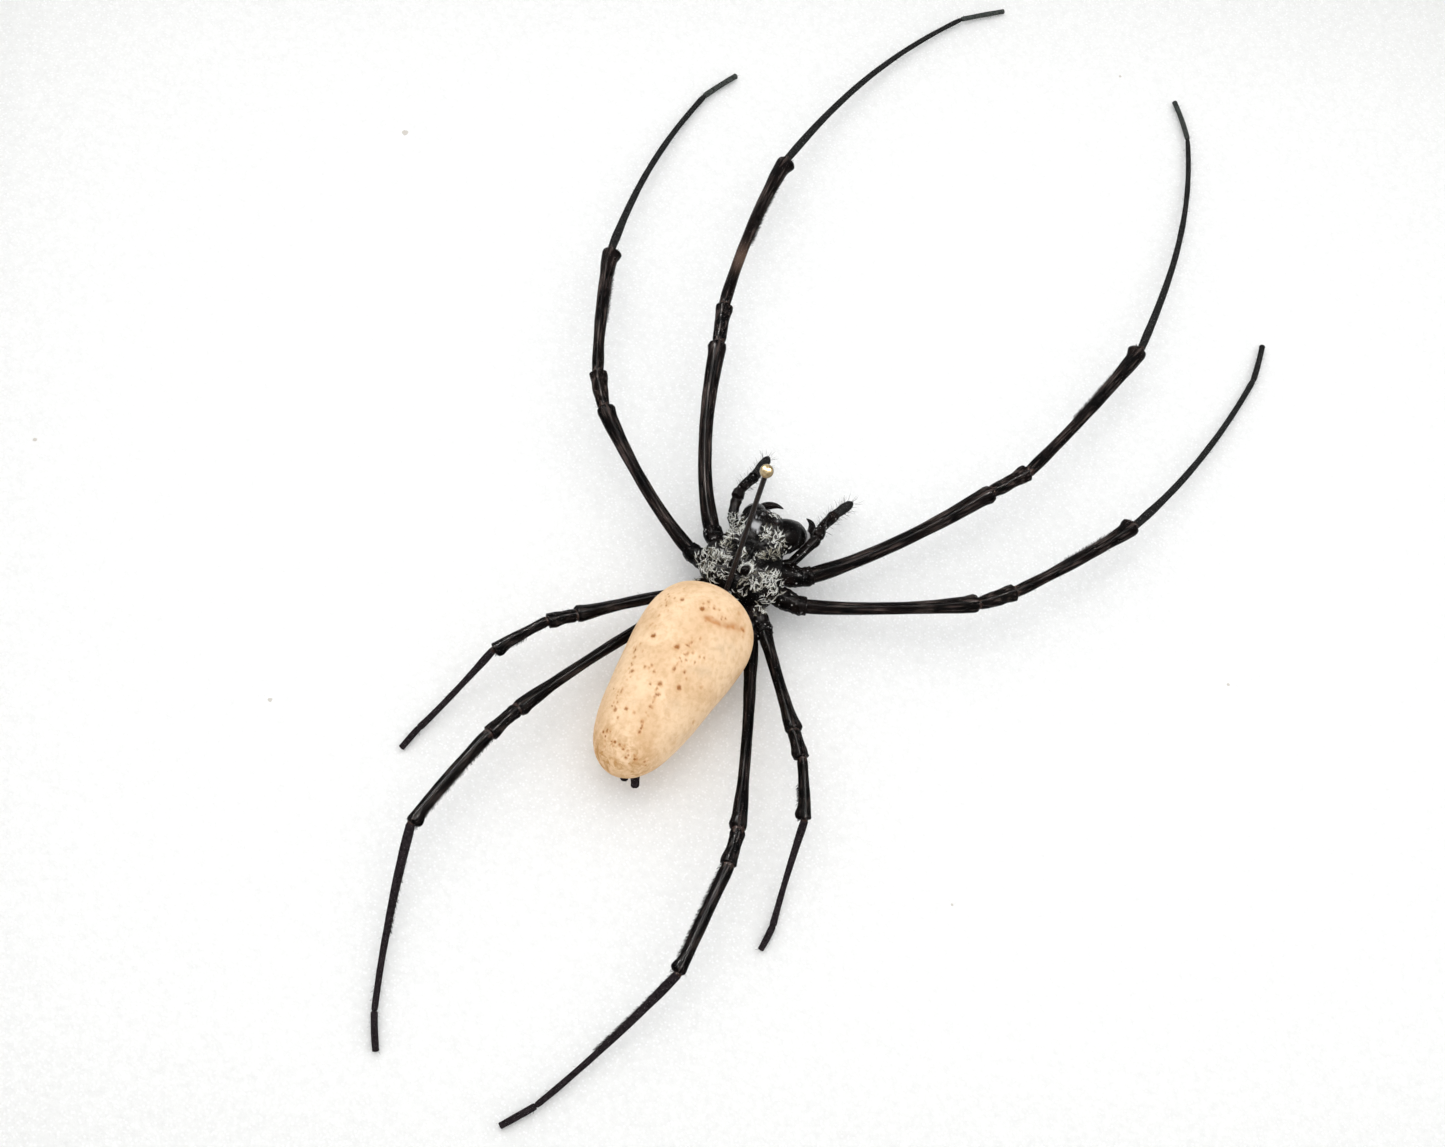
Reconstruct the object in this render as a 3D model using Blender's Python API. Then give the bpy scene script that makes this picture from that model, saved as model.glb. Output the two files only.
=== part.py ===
"""Framed orb-weaver spider: a dried spider pinned on white foam in a glazed box frame.

The box lies on its back, with its glass up. The origin is the middle of the box's back.
+X runs along the box's long side, +Y along its short side and +Z out through the glass.
"""

import math

import bmesh
import bpy
from mathutils import Matrix, Vector

MM = 0.001

# Touching pieces keep this much air between them
GAP = 0.3 * MM

# Box frame: four mitred rails with a rebate behind a lip
BOX_LENGTH = 278 * MM
BOX_WIDTH = 227 * MM
BOX_DEPTH = 60 * MM
RAIL_WALL = 12 * MM
RAIL_FACE = 18 * MM
LIP_THICK = 3.4 * MM
FACE_ROUND = 2.0 * MM
LIP_ROUND = 1.2 * MM
BACK_CHAMFER = 0.6 * MM
ROUND_STEPS = 3

# Layers from the back of the box to its glass
BACK_RECESS = 4.0 * MM
BACK_PANEL_THICK = 3.0 * MM
FOAM_THICK = 10.0 * MM
GLASS_THICK = 2.0 * MM
SPACER_THICK = 3.0 * MM
PANEL_BOTTOM = BACK_RECESS
FOAM_BOTTOM = PANEL_BOTTOM + BACK_PANEL_THICK + GAP
FOAM_TOP = FOAM_BOTTOM + FOAM_THICK
GLASS_TOP = BOX_DEPTH - LIP_THICK - GAP
GLASS_BOTTOM = GLASS_TOP - GLASS_THICK

# Flexible steel tabs that hold the back panel in
TAB_LENGTH = 15 * MM
TAB_WIDTH = 8 * MM
TAB_THICK = 0.6 * MM
TAB_IN_RAIL = 3.5 * MM
TAB_ALONG_LONG_SIDE = 70 * MM

# Insect pin, size 3, leaning forward a little
PIN_SHAFT_RADIUS = 0.25 * MM
PIN_HEAD_RADIUS = 0.8 * MM
PIN_LENGTH = 38 * MM
PIN_TOP = Vector((-15.88, -13.42, 33.0)) * MM
PIN_LEAN = Vector((1.06, 1.98, 23.5)).normalized()
PIN_SOCKET_END = 0.09 * MM
PIN_SOCKET_GAP = 0.06 * MM
FOAM_UNDER_HOLE = 1.5 * MM
HOLE_OVERRUN = 5 * MM

# The pin's point as (distance from its tip, share of the shaft's width)
PIN_POINT = ((1.6 * MM, 1.0), (0.5 * MM, 0.5), (0.1 * MM, 0.16))
ROUND_SIDES = 12

# Body of the spider: it points this many degrees clockwise of +Y
BODY_TURN = 31.0
CARAPACE_REAR = Vector((-16.6, -15.6, 0)) * MM
ABDOMEN_CENTRE = Vector((-24.2, -27.8, 8.3)) * MM
ABDOMEN_LENGTH = 27.0 * MM
ABDOMEN_WIDTH = 14.1 * MM
ABDOMEN_HEIGHT = 13.4 * MM
ABDOMEN_REAR_DROOP = 0.9 * MM

# Lengths of the leg segments, the same on both sides, pair by pair
LEG_LENGTHS = {
    1: {"femur": 27.0, "patella": 5.6, "tibia": 27.3, "metatarsus": 43.0, "tarsus": 7.0},
    2: {"femur": 22.3, "patella": 4.9, "tibia": 20.4, "metatarsus": 34.6, "tarsus": 6.3},
    3: {"femur": 15.8, "patella": 3.5, "tibia": 7.2, "metatarsus": 12.8, "tarsus": 3.2},
    4: {"femur": 27.3, "patella": 4.4, "tibia": 13.7, "metatarsus": 21.3, "tarsus": 4.5},
}
SEGMENTS = ("femur", "patella", "tibia", "metatarsus", "tarsus")

# Thickness of a leg of the first pair, as (share of the segment, width in mm)
LEG_WIDTHS = {
    "coxa": ((0.0, 2.2), (0.45, 2.9), (0.8, 2.6), (0.92, 2.1)),
    "femur": ((0.0, 2.1), (0.04, 2.4), (0.1, 1.95), (0.3, 1.75), (0.7, 1.75), (0.88, 2.0), (0.97, 2.1)),
    "patella": ((0.0, 1.65), (0.2, 2.0), (0.75, 1.95), (0.95, 1.55)),
    "tibia": ((0.04, 1.6), (0.15, 1.45), (0.5, 1.3), (0.86, 1.45), (0.97, 1.65)),
    "metatarsus": ((0.0, 1.15), (0.03, 1.2), (0.08, 1.0), (0.4, 0.85), (0.98, 0.6)),
    "tarsus": ((0.0, 0.55), (0.08, 0.66), (0.85, 0.66), (1.0, 0.4)),
}
PAIR_THICKNESS = {1: 1.0, 2: 0.97, 3: 0.88, 4: 0.97}
LEG_SIDES = 8

# Height of a leg's joints above the foam, in mm
JOINT_HEIGHTS = {
    "hip": 5.2,
    "femur": 8.5,
    "patella": 8.6,
    "tibia": 6.6,
    "metatarsus": 1.0,
    "tarsus": 0.66,
}

# A metatarsus comes down more steeply at first, and a femur bends most near the hip
METATARSUS_DROP = 1.7
FEMUR_BEND = 0.5
LINE_STEPS = 24

# Each leg: its pair, its hip as (forward, right) of the carapace's rear in mm, and the way
# each segment runs at its start and its end, in degrees from +X
LEGS = {
    "left_1": (1, (7.0, -5.5), ((106, 79), (79, 79), (75, 63), (61, 35), (27, 19))),
    "right_1": (1, (8.1, 6.5), ((8, 33), (30, 31), (50, 50), (59, 84), (92, 103))),
    "left_2": (2, (3.5, -6.3), ((136, 112), (103, 101), (88, 80), (74, 57), (45, 39))),
    "right_2": (2, (4.8, 7.6), ((-11, 3), (19, 21), (30, 36), (41, 61), (68, 74))),
    "left_3": (3, (-1.2, -4.0), ((192, 204), (194, 196), (205, 207), (222, 228), (230, 232))),
    "right_3": (3, (-0.6, 5.6), ((278, 280), (282, 284), (275, 270), (253, 256), (245, 238))),
    "left_4": (4, (-2.3, -3.4), ((209, 222), (224, 226), (229, 235), (255, 265), (271, 277))),
    "right_4": (4, (-2.2, 4.9), ((269, 261), (254, 253), (244, 245), (223, 219), (210, 208))),
}

# Palps as points (forward, right, up) from the carapace's rear in mm, with widths
LEFT_PALP = (
    (8.5, -2.6, 4.6),
    (10.0, -4.7, 4.8),
    (12.7, -5.7, 5.3),
    (14.0, -5.9, 5.6),
    (17.9, -5.4, 4.4),
    (22.1, -5.6, 3.0),
)
RIGHT_PALP = (
    (7.6, 2.4, 4.6),
    (8.3, 3.6, 4.8),
    (12.0, 4.6, 5.3),
    (14.1, 5.0, 5.6),
    (18.6, 5.1, 4.4),
    (22.1, 6.4, 3.0),
)
PALP_WIDTHS = (1.3, 1.35, 1.25, 1.4, 1.3, 0.8)

# Jaws, fangs, horns and waist as the same kind of points, with widths in mm
HEAD_PARTS = {
    "chelicera_left": (
        ((10.4, -1.8, 6.6), (11.9, -2.4, 6.1), (13.1, -2.7, 4.9), (13.8, -2.8, 3.6)),
        (2.6, 3.5, 3.3, 2.0),
    ),
    "chelicera_right": (
        ((9.8, 1.8, 6.6), (11.3, 2.6, 6.1), (12.7, 3.3, 4.9), (13.5, 3.6, 3.6)),
        (2.8, 3.8, 3.5, 2.0),
    ),
    "fang_left": (
        ((14.0, -2.8, 3.5), (15.4, -2.5, 3.3), (16.3, -1.7, 3.1), (16.6, -0.6, 3.0)),
        (0.95, 0.75, 0.5, 0.2),
    ),
    "fang_right": (
        ((13.7, 3.7, 3.6), (15.3, 4.2, 3.3), (16.5, 3.7, 3.1), (17.0, 2.8, 3.0)),
        (0.95, 0.75, 0.5, 0.2),
    ),
    "horn_left": (((3.0, -1.3, 8.4), (3.0, -1.3, 9.6)), (1.5, 0.9)),
    "horn_right": (((3.0, 0.7, 8.4), (3.0, 0.7, 9.6)), (1.5, 0.9)),
    "waist": (((1.5, -0.3, 5.6), (-2.5, -0.4, 6.6)), (2.2, 2.2)),
}
HEAD_SIDES = 10

# Spinnerets: how far behind the abdomen's middle they reach, and how far to its right, in mm
SPINNERETS = {"spinneret_left": (12.0, 1.2), "spinneret_right": (11.6, 2.8)}
SPINNERET_LENGTH = 2.6
SPINNERET_WIDTHS = (1.9, 1.5, 0.9)

# Carapace, station by station in mm: distance from its rear, half width, top and underside
CARAPACE_STATIONS = (
    (0.0, 1.3, 6.6, 5.0),
    (0.6, 3.3, 7.6, 4.0),
    (1.8, 4.8, 8.5, 3.3),
    (3.6, 5.5, 9.0, 3.0),
    (5.4, 5.3, 9.0, 3.0),
    (7.0, 4.6, 8.9, 3.1),
    (8.4, 4.1, 9.1, 3.3),
    (10.0, 3.9, 9.3, 3.6),
    (11.4, 3.6, 9.0, 4.0),
    (12.5, 2.8, 8.0, 4.6),
    (13.0, 1.5, 7.2, 5.4),
)
CARAPACE_SIDES = 22
FURROW_DEPTH = 0.35
FURROW_HALF_WIDTH = 0.7
FURROW_FROM_TO = (1.0, 6.0)
ABDOMEN_RINGS = 18
ABDOMEN_SIDES = 20


def remove_all():
    for item in list(bpy.data.objects):
        bpy.data.objects.remove(item, do_unlink=True)


def material(name, colour, roughness, metallic=0.0):
    made = bpy.data.materials.new(name)
    made.use_nodes = True
    shader = made.node_tree.nodes["Principled BSDF"]
    shader.inputs["Base Color"].default_value = (*colour, 1.0)
    shader.inputs["Roughness"].default_value = roughness
    shader.inputs["Metallic"].default_value = metallic
    return made


def object_from(name, bm, finish, smooth_angle=None):
    bmesh.ops.recalc_face_normals(bm, faces=bm.faces)
    mesh = bpy.data.meshes.new(name)
    bm.to_mesh(mesh)
    bm.free()
    made = bpy.data.objects.new(name, mesh)
    bpy.context.scene.collection.objects.link(made)
    mesh.materials.append(finish)
    if smooth_angle is not None:
        mesh.shade_smooth()
        mesh.set_sharp_from_angle(angle=math.radians(smooth_angle))
    return made


def box(bm, low, high):
    centre = (Vector(low) + Vector(high)) / 2
    size = Vector(high) - Vector(low)
    place = Matrix.Translation(centre) @ Matrix.Diagonal((*size, 1))
    bmesh.ops.create_cube(bm, size=1, matrix=place)


def as_cutter(item):
    item.hide_render = True
    item.display_type = "WIRE"


def cut(item, cutter):
    as_cutter(cutter)
    step = item.modifiers.new("cut_" + cutter.name, "BOOLEAN")
    step.operation = "DIFFERENCE"
    step.solver = "EXACT"
    step.object = cutter


def loft(bm, rings, start=None, end=None):
    """Skins a row of rings; each end closes on a point where one is given, or else with a flat cap."""
    loops = [[bm.verts.new(point) for point in ring] for ring in rings]
    count = len(rings[0])
    for near, far in zip(loops, loops[1:]):
        for i in range(count):
            j = (i + 1) % count
            bm.faces.new((near[i], near[j], far[j], far[i]))
    for loop, tip in ((loops[0], start), (loops[-1], end)):
        if tip is None:
            bm.faces.new(loop)
            continue
        pole = bm.verts.new(tip)
        for i in range(count):
            bm.faces.new((loop[i], loop[(i + 1) % count], pole))


def tube(bm, centres, widths, sides, bulge=0.35):
    """A round tube along centres, with rounded ends that stand out by bulge times their width."""
    ways = []
    for i in range(len(centres)):
        before = centres[max(i - 1, 0)]
        after = centres[min(i + 1, len(centres) - 1)]
        ways.append((after - before).normalized())
    side = ways[0].cross(Vector((0, 0, 1))).normalized()
    rings = []
    for centre, way, width in zip(centres, ways, widths):
        side = (side - way * side.dot(way)).normalized()
        other = way.cross(side)
        ring = []
        for k in range(sides):
            angle = 2 * math.pi * (k + 0.5) / sides
            ring.append(centre + (side * math.cos(angle) + other * math.sin(angle)) * width / 2)
        rings.append(ring)
    start = centres[0] - ways[0] * widths[0] * bulge
    end = centres[-1] + ways[-1] * widths[-1] * bulge
    loft(bm, rings, start, end)


def heading(degrees_from_x):
    angle = math.radians(degrees_from_x)
    return Vector((math.cos(angle), math.sin(angle), 0))


def on_carapace(forward, right, up):
    """A point given in mm forward and right of the carapace's rear, and above the foam."""
    ahead = heading(90 - BODY_TURN)
    across = heading(-BODY_TURN)
    return CARAPACE_REAR + (ahead * forward + across * right) * MM + Vector((0, 0, FOAM_TOP + up * MM))


def rail_profile():
    """The rail's section as (distance in from the box's outer face, height) points."""
    top = BOX_DEPTH
    points = [(BACK_CHAMFER, 0), (RAIL_WALL, 0), (RAIL_WALL, top - LIP_THICK), (RAIL_FACE, top - LIP_THICK)]
    for i in range(ROUND_STEPS + 1):
        turn = math.radians(90 * i / ROUND_STEPS)
        inward = RAIL_FACE - LIP_ROUND * (1 - math.cos(turn))
        points.append((inward, top - LIP_ROUND * (1 - math.sin(turn))))
    for i in range(ROUND_STEPS + 1):
        turn = math.radians(90 * i / ROUND_STEPS)
        inward = FACE_ROUND * (1 - math.sin(turn))
        points.append((inward, top - FACE_ROUND * (1 - math.cos(turn))))
    points.append((0, BACK_CHAMFER))
    return points


def make_rail(name, turn, length, offset, finish):
    """One mitred rail: its section runs along the box's side and stops on the mitres."""
    half = length / 2
    mitre = GAP / 2 * math.sqrt(2)
    ends = []
    for sign in (-1, 1):
        end = []
        for inward, z in rail_profile():
            end.append(Vector((sign * (half - inward - mitre), -offset + inward, z)))
        ends.append(end)
    bm = bmesh.new()
    loft(bm, ends)
    bmesh.ops.rotate(bm, verts=bm.verts, matrix=Matrix.Rotation(math.radians(turn), 3, "Z"))
    return object_from(name, bm, finish, 40)


def tab_places():
    """Where each tab stands: its middle on the rebate wall, and the way it points in."""
    wall_x = BOX_LENGTH / 2 - RAIL_WALL
    wall_y = BOX_WIDTH / 2 - RAIL_WALL
    places = []
    for sign in (-1, 1):
        for along in (-TAB_ALONG_LONG_SIDE, TAB_ALONG_LONG_SIDE):
            rail = "rail_top" if sign > 0 else "rail_bottom"
            places.append((rail, Vector((along, sign * wall_y, 0)), Vector((0, -sign, 0))))
        rail = "rail_right" if sign > 0 else "rail_left"
        places.append((rail, Vector((sign * wall_x, 0, 0)), Vector((-sign, 0, 0))))
    return places


def tab_box(bm, wall, inward, room):
    """The box of one tab, made larger by room on every side."""
    across = Vector((inward.y, -inward.x, 0))
    top = PANEL_BOTTOM - GAP
    corners = []
    for along, side, z in (
        (-TAB_IN_RAIL - room, -TAB_WIDTH / 2 - room, top - TAB_THICK - room),
        (TAB_LENGTH - TAB_IN_RAIL + room, TAB_WIDTH / 2 + room, top + room),
    ):
        corners.append(wall + inward * along + across * side + Vector((0, 0, z)))
    low = Vector([min(a, b) for a, b in zip(*corners)])
    high = Vector([max(a, b) for a, b in zip(*corners)])
    box(bm, low, high)


def make_frame():
    wood = material("walnut_stain", (0.11, 0.055, 0.03), 0.45)
    steel = material("tab_steel", (0.45, 0.45, 0.46), 0.4, 1.0)
    rails = {}
    for step, name in enumerate(("rail_bottom", "rail_right", "rail_top", "rail_left")):
        length, width = (BOX_LENGTH, BOX_WIDTH) if step % 2 == 0 else (BOX_WIDTH, BOX_LENGTH)
        rails[name] = make_rail(name, 90 * step, length, width / 2, wood)
    for number, (rail, wall, inward) in enumerate(tab_places(), 1):
        bm = bmesh.new()
        tab_box(bm, wall, inward, 0)
        object_from(f"back_tab_{number}", bm, steel)
        slot = bmesh.new()
        tab_box(slot, wall, inward, GAP)
        cut(rails[rail], object_from(f"tab_slot_{number}", slot, steel))


def make_layers():
    """The back panel, the foam board, the four spacer strips and the glass, one on the other."""
    half_x = BOX_LENGTH / 2 - RAIL_WALL - GAP
    half_y = BOX_WIDTH / 2 - RAIL_WALL - GAP
    panel_top = PANEL_BOTTOM + BACK_PANEL_THICK
    hardboard = material("hardboard", (0.30, 0.19, 0.11), 0.75)
    foam = material("white_foam", (0.90, 0.90, 0.90), 0.8)
    glass = material("glass", (0.95, 0.97, 0.96), 0.03)
    for name, low, high, finish in (
        ("back_panel", PANEL_BOTTOM, panel_top, hardboard),
        ("foam_board", FOAM_BOTTOM, FOAM_TOP, foam),
        ("glass_pane", GLASS_BOTTOM, GLASS_TOP, glass),
    ):
        bm = bmesh.new()
        box(bm, (-half_x, -half_y, low), (half_x, half_y, high))
        layer = object_from(name, bm, finish)
        if name == "foam_board":
            cut(layer, pin_hole("foam_pin_hole", FOAM_BOTTOM + FOAM_UNDER_HOLE, FOAM_TOP + HOLE_OVERRUN))
    card = material("white_card", (0.88, 0.88, 0.86), 0.7)
    low = FOAM_TOP + GAP
    high = GLASS_BOTTOM - GAP
    pairs = ((-1, "spacer_left", "spacer_bottom"), (1, "spacer_right", "spacer_top"))
    for sign, name_x, name_y in pairs:
        bm = bmesh.new()
        box(bm, (-half_x, sign * half_y, low), (half_x, sign * (half_y - SPACER_THICK), high))
        object_from(name_y, bm, card)
        bm = bmesh.new()
        reach = half_y - SPACER_THICK - GAP
        box(bm, (sign * half_x, -reach, low), (sign * (half_x - SPACER_THICK), reach, high))
        object_from(name_x, bm, card)


def pin_point(height):
    """The point of the pin's axis at a height in the box."""
    top = PIN_TOP + Vector((0, 0, FOAM_TOP))
    return top + PIN_LEAN * ((height - top.z) / PIN_LEAN.z)


def pin_hole(name, low, high):
    bm = bmesh.new()
    width = 2 * (PIN_SHAFT_RADIUS + GAP)
    tube(bm, [pin_point(low), pin_point(high)], [width, width], ROUND_SIDES, 0)
    return object_from(name, bm, material("hole", (0.5, 0.5, 0.5), 0.5))


def make_pin():
    top = PIN_TOP + Vector((0, 0, FOAM_TOP))
    shaft_top = top - PIN_LEAN * PIN_SOCKET_END
    point = top - PIN_LEAN * (PIN_LENGTH - PIN_HEAD_RADIUS)
    shaft_width = 2 * PIN_SHAFT_RADIUS
    bm = bmesh.new()
    centres = [shaft_top] + [point + PIN_LEAN * distance for distance, _ in PIN_POINT]
    widths = [shaft_width] + [shaft_width * share for _, share in PIN_POINT]
    tube(bm, centres, widths, ROUND_SIDES, 0.02)
    object_from("pin_shaft", bm, material("pin_black", (0.03, 0.03, 0.035), 0.35), 40)
    bm = bmesh.new()
    turn = PIN_LEAN.to_track_quat("Z", "Y").to_matrix().to_4x4()
    bmesh.ops.create_uvsphere(
        bm, u_segments=16, v_segments=10, radius=PIN_HEAD_RADIUS, matrix=Matrix.Translation(top) @ turn
    )
    head = object_from("pin_head", bm, material("pin_brass", (0.72, 0.55, 0.28), 0.25, 1.0), 40)
    bm = bmesh.new()
    width = shaft_width + 2 * PIN_SOCKET_GAP
    below_head = top - PIN_LEAN * 2 * MM
    socket_top = shaft_top + PIN_LEAN * PIN_SOCKET_GAP
    tube(bm, [below_head, socket_top], [width, width], ROUND_SIDES, 0)
    cut(head, object_from("pin_socket", bm, head.data.materials[0]))


def widths_along(knots, share):
    """The width at a share of a segment, read between its named widths."""
    for (near, near_width), (far, far_width) in zip(knots, knots[1:]):
        if share <= far:
            part = max(0.0, (share - near) / (far - near))
            return near_width + (far_width - near_width) * part
    return knots[-1][1]


def stations_of(knots, most):
    """The shares at which a segment has a ring: its named widths, and enough between them."""
    shares = [share for share, _ in knots]
    found = []
    for near, far in zip(shares, shares[1:]):
        parts = max(1, round((far - near) * most))
        found += [near + (far - near) * i / parts for i in range(parts)]
    return found + [shares[-1]]


def leg_run(pair, hip, ways):
    """The middle line and the widths of a leg from its hip to its tip."""
    thick = PAIR_THICKNESS[pair]
    inner = on_carapace(hip[0] * 0.55 + 1.9, math.copysign(2.4, hip[1]), 4.9)
    hip_point = on_carapace(*hip, JOINT_HEIGHTS["hip"])
    centres = []
    widths = []
    for share in stations_of(LEG_WIDTHS["coxa"], 3):
        centres.append(inner.lerp(hip_point, share))
        widths.append(widths_along(LEG_WIDTHS["coxa"], share) * thick * MM)
    point = hip_point
    height = JOINT_HEIGHTS["hip"]
    for segment, (way_start, way_end) in zip(SEGMENTS, ways):
        knots = LEG_WIDTHS[segment]
        length = LEG_LENGTHS[pair][segment]
        end_height = JOINT_HEIGHTS[segment]
        curved = METATARSUS_DROP if segment == "metatarsus" else 1.0
        flat_length = math.sqrt(length**2 - (height - end_height) ** 2)
        bend = FEMUR_BEND if segment == "femur" else 1.0
        line = [point.copy()]
        for i in range(LINE_STEPS):
            way = way_start + (way_end - way_start) * ((i + 0.5) / LINE_STEPS) ** bend
            line.append(line[-1] + heading(way) * flat_length / LINE_STEPS * MM)
        for i, place in enumerate(line):
            place.z = FOAM_TOP + (end_height + (height - end_height) * (1 - i / LINE_STEPS) ** curved) * MM
        rings = 10 if segment == "metatarsus" else 4
        for share in stations_of(knots, rings):
            at = share * LINE_STEPS
            near = min(int(at), LINE_STEPS - 1)
            centres.append(line[near].lerp(line[near + 1], at - near))
            widths.append(widths_along(knots, share) * thick * MM)
        point = line[-1]
        height = end_height
    return centres, widths


def make_leg(name, pair, hip, ways, finish):
    centres, widths = leg_run(pair, hip, ways)
    bm = bmesh.new()
    tube(bm, centres, widths, LEG_SIDES)
    return object_from(name, bm, finish)


def make_palp(name, points, finish):
    centres = [on_carapace(*point) for point in points]
    bm = bmesh.new()
    tube(bm, centres, [width * MM for width in PALP_WIDTHS], LEG_SIDES)
    return object_from(name, bm, finish)


def abdomen_frame(along, across, up):
    """A point of the abdomen given along its axis, to its right and above its middle."""
    ahead = heading(90 - BODY_TURN)
    right = heading(-BODY_TURN)
    return ABDOMEN_CENTRE + ahead * along + right * across + Vector((0, 0, FOAM_TOP + up))


def abdomen_fullness(share):
    """How full the abdomen is from its rear (-1) to its front (1): blunt in front, tapering behind."""
    return math.sqrt(1 - abs(share) ** 2.2) * (0.9 + 0.24 * share + 0.3 * share**2)


def make_abdomen(finish):
    rings = []
    for i in range(1, ABDOMEN_RINGS):
        share = -math.cos(math.pi * i / ABDOMEN_RINGS)
        droop = ABDOMEN_REAR_DROOP * max(0.0, -share)
        full = abdomen_fullness(share)
        ring = []
        for k in range(ABDOMEN_SIDES):
            angle = 2 * math.pi * k / ABDOMEN_SIDES
            across = full * ABDOMEN_WIDTH / 2 * math.cos(angle)
            up = full * ABDOMEN_HEIGHT / 2 * math.sin(angle) - droop
            ring.append(abdomen_frame(share * ABDOMEN_LENGTH / 2, across, up))
        rings.append(ring)
    bm = bmesh.new()
    back_end = abdomen_frame(-ABDOMEN_LENGTH / 2, 0, -ABDOMEN_REAR_DROOP)
    front_end = abdomen_frame(ABDOMEN_LENGTH / 2, 0, 0)
    loft(bm, rings, back_end, front_end)
    return object_from("spider", bm, finish)


def make_carapace(finish):
    rings = []
    for forward, half_width, top, under in CARAPACE_STATIONS:
        middle = (top + under) / 2
        ring = []
        furrowed = FURROW_FROM_TO[0] < forward < FURROW_FROM_TO[1]
        for k in range(CARAPACE_SIDES):
            angle = 2 * math.pi * k / CARAPACE_SIDES
            right = half_width * math.cos(angle)
            lift = math.sin(angle)
            up = middle + (top - under) / 2 * math.copysign(abs(lift) ** 0.8, lift)
            if furrowed and lift > 0:
                up -= FURROW_DEPTH * math.exp(-((right / FURROW_HALF_WIDTH) ** 2))
            ring.append(on_carapace(forward, right, up))
        rings.append(ring)
    bm = bmesh.new()
    loft(bm, rings)
    return object_from("carapace", bm, finish)


def make_head_parts(finish):
    """Chelicerae, fangs, the two dark horns of the carapace, spinnerets and the waist."""
    parts = []
    for name, (places, widths) in HEAD_PARTS.items():
        bm = bmesh.new()
        tube(bm, [on_carapace(*place) for place in places], [width * MM for width in widths], HEAD_SIDES)
        parts.append(object_from(name, bm, finish))
    for name, (behind, across) in SPINNERETS.items():
        root = abdomen_frame((SPINNERET_LENGTH - behind) * MM, (across - 0.4) * MM, -3.2 * MM)
        tip = abdomen_frame(-behind * MM, across * MM, -4.6 * MM)
        bm = bmesh.new()
        tube(bm, [root, root.lerp(tip, 0.7), tip], [width * MM for width in SPINNERET_WIDTHS], LEG_SIDES)
        parts.append(object_from(name, bm, finish))
    return parts


def make_spider():
    """The spider grew as one piece: its legs, palps, jaws and body are joined in one solid."""
    cuticle = material("spider_cuticle", (0.03, 0.02, 0.018), 0.35)
    spider = make_abdomen(cuticle)
    parts = [make_carapace(cuticle), *make_head_parts(cuticle)]
    parts += [make_leg(name, *leg, cuticle) for name, leg in LEGS.items()]
    parts.append(make_palp("palp_left", LEFT_PALP, cuticle))
    parts.append(make_palp("palp_right", RIGHT_PALP, cuticle))
    limbs = bpy.data.collections.new("spider_limbs")
    bpy.context.scene.collection.children.link(limbs)
    for part in parts:
        as_cutter(part)
        bpy.context.scene.collection.objects.unlink(part)
        limbs.objects.link(part)
    join = spider.modifiers.new("join", "BOOLEAN")
    join.operation = "UNION"
    join.solver = "EXACT"
    join.operand_type = "COLLECTION"
    join.collection = limbs
    cut(spider, pin_hole("spider_pin_hole", FOAM_TOP - 2 * MM, FOAM_TOP + 20 * MM))


remove_all()
make_frame()
make_layers()
make_pin()
make_spider()
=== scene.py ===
import math

import bpy
import numpy as np
from mathutils import Matrix, Vector, noise
from mathutils.bvhtree import BVHTree


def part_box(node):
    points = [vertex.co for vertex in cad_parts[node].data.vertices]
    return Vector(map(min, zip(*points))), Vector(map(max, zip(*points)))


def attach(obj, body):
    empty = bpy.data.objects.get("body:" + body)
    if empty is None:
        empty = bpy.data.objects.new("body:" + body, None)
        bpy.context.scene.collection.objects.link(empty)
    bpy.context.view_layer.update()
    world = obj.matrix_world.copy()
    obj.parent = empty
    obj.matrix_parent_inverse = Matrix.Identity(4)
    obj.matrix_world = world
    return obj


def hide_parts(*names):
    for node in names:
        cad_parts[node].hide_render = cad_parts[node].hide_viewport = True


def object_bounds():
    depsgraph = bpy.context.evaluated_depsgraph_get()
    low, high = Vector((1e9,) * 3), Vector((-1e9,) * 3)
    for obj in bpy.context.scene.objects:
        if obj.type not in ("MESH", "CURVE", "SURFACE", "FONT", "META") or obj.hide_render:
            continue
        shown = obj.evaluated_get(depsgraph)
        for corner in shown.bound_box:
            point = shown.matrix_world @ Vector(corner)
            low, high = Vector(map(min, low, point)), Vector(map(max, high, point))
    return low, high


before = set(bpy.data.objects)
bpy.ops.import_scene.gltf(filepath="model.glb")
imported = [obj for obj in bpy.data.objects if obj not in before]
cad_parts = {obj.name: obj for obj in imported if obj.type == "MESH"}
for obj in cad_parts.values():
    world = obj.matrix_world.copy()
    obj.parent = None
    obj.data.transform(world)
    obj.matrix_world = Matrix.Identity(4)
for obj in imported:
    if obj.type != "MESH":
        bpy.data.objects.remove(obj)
cad_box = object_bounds()
scene = bpy.context.scene
MM = 0.001

# Camera: it stands 300 mm off, over the lower left part of the box, and looks down on the
# spider through the glass, a little rolled, as the photograph was taken.
PICTURE_WIDTH = 1445
PICTURE_HEIGHT = 1147
FOCAL_PIXELS = 2400
SENSOR_WIDTH = 36
FOAM_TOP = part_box("foam_board")[1].z
CAMERA_AIM = Vector((-16 * MM, -9 * MM, FOAM_TOP))
CAMERA_DISTANCE = 300 * MM
CAMERA_TILT = math.radians(29)
CAMERA_HEADING = math.radians(16.5)
CAMERA_ROLL = math.radians(16.5)
UP = Vector((0, 0, 1))


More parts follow.
